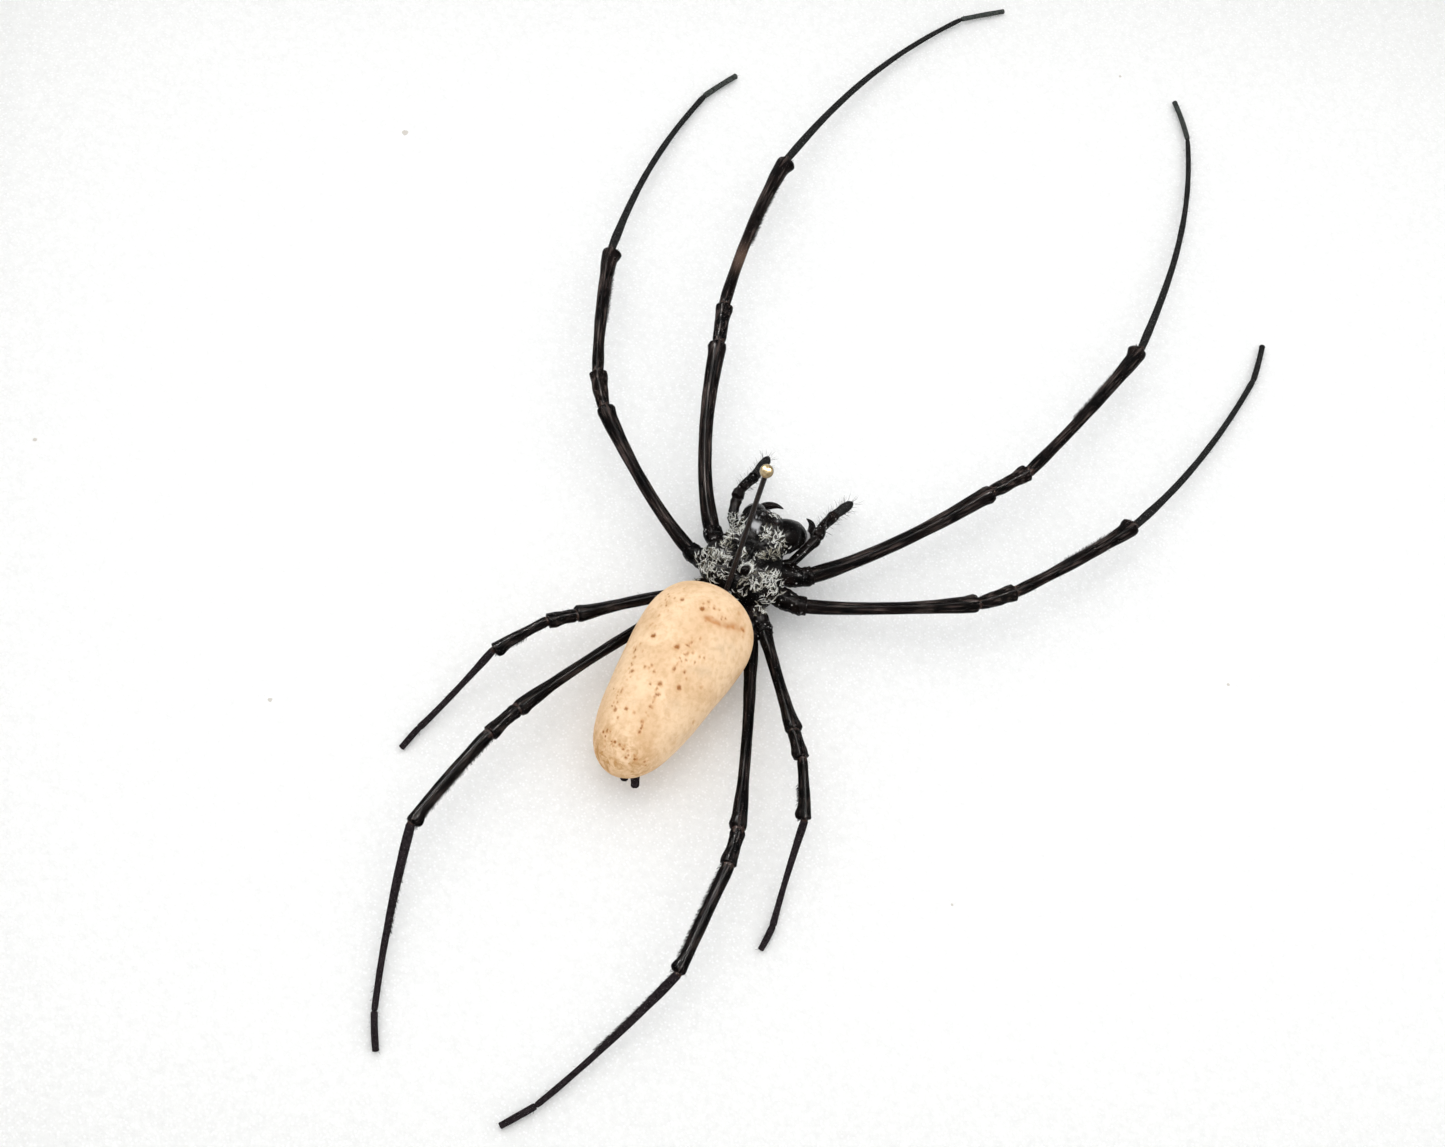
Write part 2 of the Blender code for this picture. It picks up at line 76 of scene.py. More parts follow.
def camera_axes():
    """The camera's right, up and backward directions in the box's frame."""
    ahead = Vector((math.sin(CAMERA_HEADING), math.cos(CAMERA_HEADING), 0))
    look = ahead * math.sin(CAMERA_TILT) - UP * math.cos(CAMERA_TILT)
    level_right = Vector((math.cos(CAMERA_HEADING), -math.sin(CAMERA_HEADING), 0))
    level_up = ahead * math.cos(CAMERA_TILT) + UP * math.sin(CAMERA_TILT)
    right = level_right * math.cos(CAMERA_ROLL) + level_up * math.sin(CAMERA_ROLL)
    up = level_up * math.cos(CAMERA_ROLL) - level_right * math.sin(CAMERA_ROLL)
    return right, up, -look


camera_right, camera_up, camera_back = camera_axes()
camera_place = CAMERA_AIM + camera_back * CAMERA_DISTANCE
camera_data = bpy.data.cameras.new("camera")
camera_data.sensor_width = SENSOR_WIDTH
camera_data.lens = SENSOR_WIDTH * FOCAL_PIXELS / PICTURE_WIDTH
camera_data.clip_start = 10 * MM
camera = bpy.data.objects.new("camera", camera_data)
camera.matrix_world = Matrix.Translation(camera_place) @ Matrix(
    (camera_right, camera_up, camera_back)
).transposed().to_4x4()
scene.collection.objects.link(camera)
scene.camera = camera


def picture_ray(x, y):
    """The way from the camera through a pixel of the photograph."""
    across = (x - PICTURE_WIDTH / 2) / FOCAL_PIXELS
    down = (y - PICTURE_HEIGHT / 2) / FOCAL_PIXELS
    return (camera_right * across - camera_up * down - camera_back).normalized()


def picture_pixels(points):
    """The pixels of the photograph that points fall on, as an array."""
    away = np.asarray(points) - np.array(camera_place)
    depth = -away @ np.array(camera_back)
    x = PICTURE_WIDTH / 2 + FOCAL_PIXELS * (away @ np.array(camera_right)) / depth
    y = PICTURE_HEIGHT / 2 - FOCAL_PIXELS * (away @ np.array(camera_up)) / depth
    return np.stack([x, y], 1)


# Studio: a pale sky of soft light, a wide soft panel overhead, a smaller softbox high on the
# left that throws faint shadows, and small lamps whose reflections run along the limbs. The
# box lies on a plain pale table.
SKY_COLOUR = (0.955, 0.967, 0.985)
SKY_STRENGTH = 1.07
PANEL_WAY = Vector((0.0, 0.0, 1.0))
PANEL_SIZE = 1.5
PANEL_WATTS = 2.0
SOFTBOX_WAY = Vector((-0.19, -0.04, 0.98))
SOFTBOX_SIZE = 0.5
SOFTBOX_WATTS = 0.9
LAMP_WAYS = (
    Vector((-0.5, 0.25, 0.83)), Vector((0.0, -0.05, 1.0)), Vector((0.58, 0.05, 0.81)),
    Vector((0.37, -0.03, 0.93)), Vector((-0.6, 0.59, 0.54)),
)
LAMP_SIZE = 0.2
LAMP_WATTS = 18.0
LIGHT_DISTANCE = 0.9
LIGHT_COLOUR = (1.0, 0.985, 0.96)
TABLE_HALF = 3.0
TABLE_COLOUR = (0.74, 0.74, 0.73)

scene.view_settings.view_transform = "Standard"
world = bpy.data.worlds.new("studio_sky")
world.use_nodes = True
sky = world.node_tree.nodes["Background"]
sky.inputs["Color"].default_value = (*SKY_COLOUR, 1)
sky.inputs["Strength"].default_value = SKY_STRENGTH
scene.world = world


def hang_light(name, way, size, watts):
    """A round soft light that looks down at the spider from a given way."""
    data = bpy.data.lights.new(name, "AREA")
    data.shape = "DISK"
    data.size = size
    data.energy = watts
    data.color = LIGHT_COLOUR
    light = bpy.data.objects.new(name, data)
    light.location = CAMERA_AIM + way.normalized() * LIGHT_DISTANCE
    light.rotation_euler = way.to_track_quat("Z", "Y").to_euler()
    scene.collection.objects.link(light)
    return light


hang_light("panel", PANEL_WAY, PANEL_SIZE, PANEL_WATTS)
hang_light("softbox", SOFTBOX_WAY, SOFTBOX_SIZE, SOFTBOX_WATTS)
for lamp_way in LAMP_WAYS:
    hang_light("lamp", lamp_way, LAMP_SIZE, LAMP_WATTS).visible_diffuse = False


def node(tree, kind, values=(), **settings):
    """A shader node with its settings; a value that is another node's socket is linked."""
    made = tree.nodes.new("ShaderNode" + kind)
    for name, value in settings.items():
        setattr(made, name, value)
    for place, value in dict(values).items():
        if isinstance(value, bpy.types.NodeSocket):
            tree.links.new(value, made.inputs[place])
        else:
            made.inputs[place].default_value = value
    return made


def ramp(tree, share, *stops):
    """The colour at a share from 0 to 1, between stops of (place, colour)."""
    made = node(tree, "ValToRGB", {"Fac": share})
    band = made.color_ramp
    while len(band.elements) < len(stops):
        band.elements.new(1.0)
    for element, (place, colour) in zip(band.elements, stops):
        element.position = place
        element.color = (*colour, 1)
    return made.outputs["Color"]


def new_material(name, **values):
    """A Principled material with its plain values, its tree and its shader."""
    made = bpy.data.materials.new(name)
    made.use_nodes = True
    tree = made.node_tree
    shader = tree.nodes["Principled BSDF"]
    for place, value in values.items():
        value = (*value, 1) if isinstance(value, tuple) else value
        shader.inputs[place.replace("_", " ")].default_value = value
    return made, tree, shader


def grain_of(tree, scale, stretch=(1, 1, 1), detail=2.0, roughness=0.5, distortion=0.0):
    """A noise that runs from 0 to 1 over the piece, with the size of its grains in 1/m."""
    place = node(tree, "TexCoord").outputs["Object"]
    laid = node(tree, "Mapping", {"Vector": place, "Scale": stretch})
    values = {
        "Vector": laid.outputs["Vector"],
        "Scale": scale,
        "Detail": detail,
        "Roughness": roughness,
        "Distortion": distortion,
    }
    return node(tree, "TexNoise", values).outputs["Fac"]


def raise_by(tree, shader, height, depth, strength):
    """Bumps the shader's surface by a height from 0 to 1 times a depth in metres."""
    bump = node(tree, "Bump", {"Height": height, "Distance": depth, "Strength": strength})
    tree.links.new(bump.outputs["Normal"], shader.inputs["Normal"])


def vary_roughness(tree, shader, share, low, high):
    """Runs the shader's roughness from low to high with a share from 0 to 1."""
    spread = node(tree, "MapRange", {"Value": share, "To Min": low, "To Max": high})
    tree.links.new(spread.outputs[0], shader.inputs["Roughness"])


def mix_colour(tree, share, first, second, how="MIX"):
    """One colour turned into another by a share from 0 to 1."""
    ends = [(*end, 1) if isinstance(end, tuple) else end for end in (first, second)]
    values = {"Factor": share, 6: ends[0], 7: ends[1]}
    return node(tree, "Mix", values, data_type="RGBA", blend_type=how).outputs[2]


def mottled(name, grain, *stops, gloss=None, bump=None, **values):
    """A material coloured by one grain, which can also vary its roughness and raise it."""
    made, tree, shader = new_material(name, **values)
    share = grain_of(tree, **grain)
    tree.links.new(ramp(tree, share, *stops), shader.inputs["Base Color"])
    if gloss:
        vary_roughness(tree, shader, share, *gloss)
    if bump:
        raise_by(tree, shader, share, *bump)
    return made


def select_only(item):
    """Selects one object and makes it the active one."""
    bpy.ops.object.select_all(action="DESELECT")
    item.hide_viewport = False
    item.select_set(True)
    bpy.context.view_layer.objects.active = item


bpy.ops.object.select_all(action="DESELECT")
bpy.ops.mesh.primitive_plane_add(size=2 * TABLE_HALF, location=(0, 0, cad_box[0][2]))
table = bpy.context.active_object
table.name = "table"
pale = new_material("pale_table", Base_Color=TABLE_COLOUR, Roughness=0.9, Specular_IOR_Level=0.0)
table.data.materials.append(pale[0])


def set_finish(name, finish):
    """Gives a CAD node that stays as it is its finish."""
    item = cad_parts[name]
    item.data.materials.clear()
    item.data.materials.append(finish)


# Rails: four lengths of solid hardwood with a rebate behind the lip, mitred and glued, then
# stained dark walnut and rubbed with a satin varnish. The grain runs along each rail.
WOOD_DARK = (0.018, 0.0085, 0.005)
WOOD_MIDDLE = (0.055, 0.026, 0.0135)
WOOD_LIGHT = (0.12, 0.062, 0.033)


def stained_wood(name, along_x):
    """Dark walnut whose grain runs along x or along y."""

    def lengthwise(share):
        """How the grain is stretched: its size along the rail is one over the share."""
        return (share, 1, 1) if along_x else (1, share, 1)

    made, tree, shader = new_material(name, Specular_IOR_Level=0.07)
    figure = grain_of(tree, 26, lengthwise(0.12), 5, 0.55, 1.2)
    fine = grain_of(tree, 420, lengthwise(0.035), 3, 0.6, 0.4)
    pores = grain_of(tree, 1500, lengthwise(0.03), 1)
    bands = node(tree, "Math", {0: figure, 1: 7.0}, operation="MULTIPLY").outputs[0]
    bands = node(tree, "Math", {0: bands, 1: 1.0}, operation="PINGPONG").outputs[0]
    mixed = node(tree, "Mix", {"Factor": 0.45, 2: bands, 3: fine}, data_type="FLOAT").outputs[0]
    colour = ramp(tree, mixed, (0.15, WOOD_DARK), (0.5, WOOD_MIDDLE), (0.85, WOOD_LIGHT))
    dark = ramp(tree, pores, (0.30, (0.25, 0.22, 0.2)), (0.42, (1, 1, 1)))
    tree.links.new(mix_colour(tree, 1.0, colour, dark, "MULTIPLY"), shader.inputs["Base Color"])
    vary_roughness(tree, shader, fine, 0.34, 0.52)
    raise_by(tree, shader, pores, 0.00012, 0.5)
    return made


for name, along_x, rails in (("long", True, ("bottom", "top")), ("short", False, ("left", "right"))):
    wood = stained_wood("stained_wood_" + name, along_x)
    for rail in rails:
        set_finish("rail_" + rail, wood)


# Glass: one thin sheet with a faint cut edge, laid in the rebate under the lip. It is a low
# reflection picture glass, so that the specimen shows plainly.
glass = new_material("picture_glass", Base_Color=(1, 1, 1), Roughness=0.0, IOR=1.04, Transmission_Weight=1.0)
set_finish("glass_pane", glass[0])
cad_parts["glass_pane"].visible_shadow = False
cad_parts["glass_pane"].visible_diffuse = False


# Spacers: strips of thick white card, cut to length and stood on the foam round the walls,
# where they hold the glass clear of the specimen.
CARD_FIBRES = {"scale": 900, "stretch": (1, 1, 0.25), "detail": 3}
CARD_GREY = (0.88, 0.88, 0.87)
CARD_WHITE = (0.94, 0.94, 0.93)
card = mottled(
    "white_card", CARD_FIBRES, (0.3, CARD_GREY), (0.7, CARD_WHITE),
    bump=(0.0001, 0.5), Roughness=0.75, Specular_IOR_Level=0.0,
)
for side in ("bottom", "right", "top", "left"):
    set_finish("spacer_" + side, card)


# Foam board: white closed-cell foam, cut to the rebate. Its fine cells show as a grain with a
# painted glint in many of them, and a few specks of dust lie on it.
def white_foam():
    """Matt white foam whose cells show as a fine grain, with a painted glint in each."""
    made, tree, shader = new_material("white_foam", Roughness=0.9, Specular_IOR_Level=0.0)
    place = node(tree, "TexCoord").outputs["Object"]
    cells = node(tree, "TexVoronoi", {"Vector": place, "Scale": 2100.0})
    patches = grain_of(tree, 1300, detail=3, roughness=0.7)
    colour = ramp(tree, patches, (0.3, (0.84, 0.84, 0.83)), (0.7, (0.905, 0.905, 0.895)))
    # Painted glints: a pale dot at the middle of each cell, mixed into the colour.
    painted_foam_glints = ramp(tree, cells.outputs["Distance"], (0.16, (1, 1, 1)), (0.34, (0, 0, 0)))
    tree.links.new(mix_colour(tree, painted_foam_glints, colour, (0.97, 0.97, 0.97)), shader.inputs["Base Color"])
    raise_by(tree, shader, patches, 0.00035, 0.5)
    return made


set_finish("foam_board", white_foam())


def joined(name, items):
    """Several meshes made one object."""
    select_only(items[0])
    for item in items[1:]:
        item.select_set(True)
    bpy.ops.object.join()
    made = bpy.context.active_object
    made.name = name
    return made


FLECK_THICKNESS = 0.12
FLECK_LUMPS = 0.1 * MM
FLECK_RISE = 0.04 * MM

# Flecks of dust as pixels, with their size in mm
FLECKS = (
    (405, 133, 0.85), (270, 700, 0.5), (35, 440, 0.5), (1120, 77, 0.4), (1228, 685, 0.4), (952, 905, 0.3),
)
flecks = []
for number, (x, y, size) in enumerate(FLECKS):
    ray = picture_ray(x, y)
    place = camera_place + ray * ((FOAM_TOP + FLECK_RISE - camera_place.z) / ray.z)
    bpy.ops.object.select_all(action="DESELECT")
    bpy.ops.mesh.primitive_ico_sphere_add(subdivisions=2, radius=size / 2 * MM)
    fleck = bpy.context.active_object
    for corner in fleck.data.vertices:
        corner.co *= 1 + 0.5 * noise.noise(corner.co / FLECK_LUMPS + Vector((number, 0, 0)))
        corner.co.z *= FLECK_THICKNESS
    fleck.location = place
    fleck.rotation_euler = (0, 0, number)
    bpy.ops.object.transform_apply(location=True, rotation=True)
    flecks.append(fleck)
dust = joined("dust_flecks", flecks)
grey_dust = new_material("dust", Base_Color=(0.62, 0.585, 0.54), Roughness=0.8, Specular_IOR_Level=0.0)
dust.data.materials.append(grey_dust[0])
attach(dust, "root")


# Abdomen: the spider's dried skin, cream turned peach, stretched smooth over its filling. It
# is an egg shape, a little flattened, with soft dents, small brown muscle spots in rows, a
# crease at its front right and a tan, mottled rear.
BODY_TURN = math.radians(31)
BODY_AHEAD = Vector((math.sin(BODY_TURN), math.cos(BODY_TURN), 0))
BODY_RIGHT = Vector((math.cos(BODY_TURN), -math.sin(BODY_TURN), 0))
ABDOMEN_CENTRE = Vector((-24.2, -27.8, 8.3)) * MM + UP * FOAM_TOP
ABDOMEN_LENGTH = 27.0 * MM
ABDOMEN_WIDTH = 14.1 * MM
ABDOMEN_HEIGHT = 13.4 * MM
ABDOMEN_REAR_DROOP = 0.9 * MM
FRONT_TUCK = 0.5 * MM
ABDOMEN_STATIONS = 190
ABDOMEN_STEPS = 256
SKIN_ROLL = 0.075 * MM
SKIN_ROLL_SIZE = 3.2 * MM
SKIN_CREPE = 0.022 * MM
SKIN_CREPE_SIZE = 0.9 * MM
SPOT_DEPTH = 0.05 * MM
SPOT_RAGGED = 0.35
SPOT_RAGGED_SIZE = 0.22 * MM
SPECK_RADII = (0.7, 1.25)
SPECK_STRENGTHS = (0.5, 1.0)
CREASE_HALF_WIDTH = 0.36 * MM
CREASE_DEPTH = 0.16 * MM
CREASE_WANDER_SIZE = 0.7 * MM
CREASE_PATCH_SIZE = 0.5 * MM
CREASE_BAND_HALF_WIDTH = 1.1 * MM
PAINTED_SHADE_RAGGED_SIZE = 0.8 * MM
TAN_STARTS = 0.64
TAN_FADES_OVER = 0.3

# Dents as (forward, right, up from the middle in mm, radius in mm, depth in mm)
DENTS = (
    (6.0, 3.8, 5.2, 3.6, 0.28), (1.0, 4.8, 4.6, 3.2, 0.22), (-3.5, 2.6, 5.6, 3.0, 0.16),
    (4.5, -3.8, 5.0, 3.2, 0.14), (-7.0, 3.0, 3.6, 2.6, 0.16), (10.3, 1.0, 4.0, 2.0, 0.10),
)

# Muscle spots as pixels of the photograph, with their radius in pixels and their strength
MUSCLE_SPOTS = (
    (682, 600, 2.0, 0.9), (684, 589, 1.0, 0.5), (702, 609, 2.2, 1.0), (666, 605, 1.0, 0.5),
    (668, 611, 1.0, 0.5), (652, 624, 1.0, 0.5), (653, 636, 2.3, 1.0), (677, 647, 2.4, 1.0),
    (688, 653, 1.2, 0.6), (640, 644, 1.2, 0.6), (634, 652, 1.5, 0.7), (633, 658, 1.0, 0.5),
    (645, 667, 1.5, 0.8), (654, 672, 1.5, 0.8), (632, 671, 1.8, 0.9), (627, 680, 1.0, 0.5),
    (660, 684, 2.0, 0.9), (679, 688, 2.2, 1.0), (701, 688, 1.6, 0.6), (621, 692, 1.2, 0.7),
    (656, 694, 1.0, 0.5), (626, 709, 1.8, 0.9), (615, 710, 1.9, 0.8), (634, 713, 1.4, 0.6),
    (648, 716, 1.0, 0.5), (642, 722, 1.5, 0.8), (693, 723, 1.7, 0.6), (706, 621, 1.2, 0.6),
    (739, 614, 2.2, 0.4), (744, 631, 1.5, 0.8), (743, 637, 1.6, 0.4),
)

# Bands of fine specks as pixels, from one end to the other: how many lie in the band, and
# how far they stray from its middle
SPECK_ROWS = (
    ((694, 636), (686, 655), 8, 3.0), ((686, 653), (673, 671), 12, 2.0),
    ((668, 676), (650, 708), 9, 3.5), ((650, 706), (640, 735), 8, 4.0),
    ((636, 645), (628, 680), 9, 3.0), ((624, 684), (610, 712), 11, 4.5),
    ((614, 716), (604, 735), 6, 5.0), ((672, 596), (648, 630), 10, 5.0),
    ((706, 600), (724, 620), 10, 6.0), ((644, 650), (660, 690), 6, 9.0),
    ((700, 630), (690, 700), 8, 12.0), ((606, 740), (650, 765), 20, 8.0),
)

# The crease at the front right, as pixels
CREASE = ((707, 618), (712, 621), (721, 625), (730, 627), (736, 628), (743, 630))

# Patches of painted shade on the skin as pixels: middle, half width and half height
PAINTED_SHADE_PATCHES = (
    (724, 648, 13, 10), (702, 672, 14, 6), (674, 706, 9, 6), (630, 703, 6, 4), (688, 738, 16, 7),
)


def fullness(share):
    """How full the abdomen is from its rear (-1) to its front (1): blunt in front, tapering behind."""
    return math.sqrt(max(0.0, 1 - abs(share) ** 2.2)) * (0.9 + 0.24 * share + 0.3 * share**2)


def mesh_object(name, corners, edges, faces):
    """A new object with a mesh of the given corners, edges and faces."""
    mesh = bpy.data.meshes.new(name)
    mesh.from_pydata(corners, edges, faces)
    made = bpy.data.objects.new(name, mesh)
    scene.collection.objects.link(made)
    return made


def spun_abdomen():
    """The abdomen's outline spun round its long axis, flattened, and laid where it belongs."""
    profile = []
    for i in range(ABDOMEN_STATIONS + 1):
        share = -math.cos(math.pi * i / ABDOMEN_STATIONS)
        profile.append((fullness(share) * ABDOMEN_WIDTH / 2, share * ABDOMEN_LENGTH / 2, 0))
    made = mesh_object("abdomen", profile, [(i, i + 1) for i in range(ABDOMEN_STATIONS)], [])
    select_only(made)
    bpy.ops.object.mode_set(mode="EDIT")
    bpy.ops.mesh.select_all(action="SELECT")
    bpy.ops.mesh.spin(steps=ABDOMEN_STEPS, angle=2 * math.pi, center=(0, 0, 0), axis=(0, 1, 0))
    bpy.ops.mesh.select_all(action="SELECT")
    bpy.ops.mesh.remove_doubles(threshold=0.001 * MM)
    bpy.ops.mesh.normals_make_consistent(inside=False)
    bpy.ops.transform.resize(value=(1, 1, ABDOMEN_HEIGHT / ABDOMEN_WIDTH), center_override=(0, 0, 0))
    bpy.ops.object.mode_set(mode="OBJECT")
    made.rotation_euler = (0, 0, -BODY_TURN)
    made.location = ABDOMEN_CENTRE
    bpy.ops.object.transform_apply(location=True, rotation=True, scale=True)
    bpy.ops.object.shade_smooth()
    return made


def mesh_points(item):
    """The mesh's corners and their normals, as two arrays."""
    count = len(item.data.vertices)
    points = np.empty(count * 3)
    normals = np.empty(count * 3)
    item.data.vertices.foreach_get("co", points)
    item.data.vertices.foreach_get("normal", normals)
    return points.reshape(-1, 3), normals.reshape(-1, 3)


def set_points(item, points):
    """Moves the mesh's corners to an array of places."""
    item.data.vertices.foreach_set("co", points.ravel())
    item.data.update()


def surface_of(item):
    """The item's surface, for finding where a ray meets it or which of its points is nearest."""
    return BVHTree.FromObject(item, bpy.context.evaluated_depsgraph_get())


def under_pixel(surface, x, y):
    """The point of a surface that shows at a pixel of the photograph, or None."""
    return surface.ray_cast(camera_place, picture_ray(x, y))[0]


def noise_over(points, size, seed=0.0):
    """A smooth noise from about -1 to 1 at each point, with lumps of a given size."""
    shift = Vector((seed, 2 * seed, -seed))
    return np.array([noise.noise(Vector(point) / size + shift) for point in points])


def store(item, name, values):
    """Keeps one number for each corner of the mesh, for its material to read."""
    layer = item.data.attributes.new(name, "FLOAT", "POINT")
    layer.data.foreach_set("value", np.asarray(values, dtype=np.float32))


def near_line(points, line):
    """How far each point is from a line of points."""
    best = np.full(len(points), 1e9)
    for start, end in zip(line, line[1:]):
        start = np.array(start)
        way = np.array(end) - start
        share = np.clip((points - start) @ way / (way @ way), 0, 1)
        best = np.minimum(best, np.linalg.norm(points - start - share[:, None] * way, axis=1))
    return best


def dress_abdomen(item):
    """Droops, dents and creases the skin, and marks its spots, specks, a darker band along the crease and
    patches of painted shade.
    """
    rng = np.random.default_rng(7)
    points, normals = mesh_points(item)
    local = points - np.array(ABDOMEN_CENTRE)
    along = local @ np.array(BODY_AHEAD) / (ABDOMEN_LENGTH / 2)
    points[:, 2] -= ABDOMEN_REAR_DROOP * np.clip(-along, 0, 1)
    points -= np.array(BODY_AHEAD) * (FRONT_TUCK * np.clip(2 * along - 1, 0, 1))[:, None]
    roll = SKIN_ROLL * noise_over(points, SKIN_ROLL_SIZE, 3.1)
    crepe = SKIN_CREPE * noise_over(points, SKIN_CREPE_SIZE, 8.7)
    lift = roll + crepe
    for ahead, right, up, radius, depth in DENTS:
        centre = np.array(ABDOMEN_CENTRE + (BODY_AHEAD * ahead + BODY_RIGHT * right + UP * up) * MM)
        away = np.linalg.norm(points - centre, axis=1) / (radius * MM)
        lift -= depth * MM * np.exp(-(away**2))
    points += normals * lift[:, None]
    set_points(item, points)
    surface = surface_of(item)
    pixel = CAMERA_DISTANCE / FOCAL_PIXELS
    ragged = 1 + SPOT_RAGGED * noise_over(points, SPOT_RAGGED_SIZE, 12.4)
    spot = np.zeros(len(points))
    for x, y, radius, strength in MUSCLE_SPOTS:
        centre = under_pixel(surface, x, y)
        away = ragged * np.linalg.norm(points - np.array(centre), axis=1) / (radius * pixel)
        spot = np.maximum(spot, strength * np.clip(2.0 - 1.3 * away, 0, 1))
    for start, end, count, spread in SPECK_ROWS:
        for _ in range(count):
            share = rng.random()
            x, y = np.array(start) * (1 - share) + np.array(end) * share + rng.normal(0, spread / 2, 2)
            centre = under_pixel(surface, x, y)
            if centre is None:
                continue
            away = ragged * np.linalg.norm(points - np.array(centre), axis=1)
            away /= rng.uniform(*SPECK_RADII) * pixel
            spot = np.maximum(spot, rng.uniform(*SPECK_STRENGTHS) * np.clip(1.8 - away, 0, 1))
    line = [under_pixel(surface, x, y) for x, y in CREASE]
    fold = near_line(points, line)
    wander = 1 + 0.5 * noise_over(points, CREASE_WANDER_SIZE, 5.5)
    patchy = np.clip(0.85 + 0.8 * noise_over(points, CREASE_PATCH_SIZE, 1.9), 0, 1)
    # Along the crease and in a wider band round it the colour turns darker orange: partly the skin's own
    # tone, partly painted shade in the fold.
    crease = patchy * np.exp(-((fold / (CREASE_HALF_WIDTH * wander)) ** 2))
    crease_band = np.exp(-((fold / CREASE_BAND_HALF_WIDTH) ** 2))
    sunk = spot * SPOT_DEPTH + crease * CREASE_DEPTH
    points -= normals * sunk[:, None]
    set_points(item, points)
    pixels = picture_pixels(points)
    # Painted shade: grey-brown patches on the upper side of the skin, over the dents.
    painted_shade = np.zeros(len(points))
    for x, y, half_width, half_height in PAINTED_SHADE_PATCHES:
        away = np.hypot((pixels[:, 0] - x) / half_width, (pixels[:, 1] - y) / half_height)
        painted_shade = np.maximum(painted_shade, np.exp(-(away**2)))
    painted_shade *= np.clip(0.7 + noise_over(points, PAINTED_SHADE_RAGGED_SIZE, 4.8), 0, 1) * (normals[:, 2] > 0)
    store(item, "painted_shade", painted_shade)
    store(item, "spot", spot)
    store(item, "crease", crease)
    store(item, "crease_band", crease_band)
    store(item, "rear", np.clip((-along - TAN_STARTS) / TAN_FADES_OVER, 0, 1))


SKIN_PALE = (0.865, 0.63, 0.405)
SKIN_PEACH = (0.75, 0.51, 0.30)
SKIN_TAN = (0.50, 0.26, 0.09)
PAINTED_SHADE_BROWN = (0.53, 0.39, 0.26)
SPECK_ORANGE = (0.56, 0.24, 0.07)
SPOT_BROWN = (0.29, 0.105, 0.02)
CREASE_ORANGE = (0.50, 0.215, 0.065)
# Marks mixed into the skin: painted shade over the dents, and the darker orange band and line along the
# crease.
SKIN_MARKS = (("painted_shade", 0.32, PAINTED_SHADE_BROWN), ("crease_band", 0.25, CREASE_ORANGE), ("crease", 0.95, CREASE_ORANGE))


def attribute(tree, name):
    """The numbers that were kept on the mesh under a name."""
    return node(tree, "Attribute", attribute_name=name).outputs["Fac"]


def multiplied(tree, first, second):
    """The product of two shares, kept between 0 and 1."""
    return node(tree, "Math", {0: first, 1: second}, operation="MULTIPLY", use_clamp=True).outputs[0]


def dried_skin():
    """Cream skin with peach patches and fine veins, a tan rear and marks read off the mesh."""
    made, tree, shader = new_material("dried_skin", Roughness=0.6, Specular_IOR_Level=0.04)
    broad = grain_of(tree, 190, detail=3, roughness=0.55, distortion=0.6)
    fine = grain_of(tree, 1400, detail=3, roughness=0.6)
    colour = ramp(tree, broad, (0.38, SKIN_PEACH), (0.58, SKIN_PALE))
    veins = ramp(tree, fine, (0.32, (0.88, 0.82, 0.74)), (0.56, (1.0, 1.0, 1.0)))
    colour = mix_colour(tree, 1.0, colour, veins, "MULTIPLY")
    mottle = grain_of(tree, 900, detail=4, roughness=0.65, distortion=0.8)
    patches = ramp(tree, mottle, (0.42, (0, 0, 0)), (0.62, (1, 1, 1)))
    rear = multiplied(tree, attribute(tree, "rear"), patches)
    colour = mix_colour(tree, rear, colour, SKIN_TAN)
    for mark, strength, mark_colour in SKIN_MARKS:
        colour = mix_colour(tree, multiplied(tree, attribute(tree, mark), strength), colour, mark_colour)
    spot = attribute(tree, "spot")
    brown = ramp(tree, spot, (0.35, SPECK_ORANGE), (0.85, SPOT_BROWN))
    colour = mix_colour(tree, spot, colour, brown)
    tree.links.new(colour, shader.inputs["Base Color"])
    raise_by(tree, shader, fine, 0.00006, 0.6)
    return made


abdomen = spun_abdomen()
dress_abdomen(abdomen)
abdomen.data.materials.append(dried_skin())
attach(abdomen, "root")
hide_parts("spider")


# Limbs: hollow tubes of black cuticle, drawn segment by segment as curves with a thickness at
# every point. The long segments have dried with shallow grooves along them. The two outer
# segments are dull and velvety, and thin brown skin shows at the joints.
GROOVED_SIDES = 20
ROUND_SIDES = 16
FINE_SIDES = 32
GROOVE_ANGLES = (52, 128, 235, 305)
GROOVE_DEPTH = 0.13
GROOVE_WIDTH = 17


def section_curve(name, sides, grooves):
    """The outline of a limb cut across, one unit wide, with its grooves."""
    drawn = bpy.data.curves.new(name, "CURVE")
    drawn.dimensions = "2D"
    line = drawn.splines.new("POLY")
    line.points.add(sides - 1)
    line.use_cyclic_u = True
    for i, point in enumerate(line.points):
        angle = 360 * i / sides
        sunk = 0.0
        for groove in grooves:
            apart = (angle - groove + 180) % 360 - 180
            sunk += GROOVE_DEPTH * math.exp(-((apart / GROOVE_WIDTH) ** 2))
        radius = 0.5 * (1 - sunk)
        turn = math.radians(angle)
        point.co = (radius * math.cos(turn), radius * math.sin(turn), 0, 1)
    made = bpy.data.objects.new(name, drawn)
    scene.collection.objects.link(made)
    return made


grooved = section_curve("grooved_section", GROOVED_SIDES, GROOVE_ANGLES)
fine_round = section_curve("fine_round_section", FINE_SIDES, ())
plain_round = section_curve("round_section", ROUND_SIDES, ())


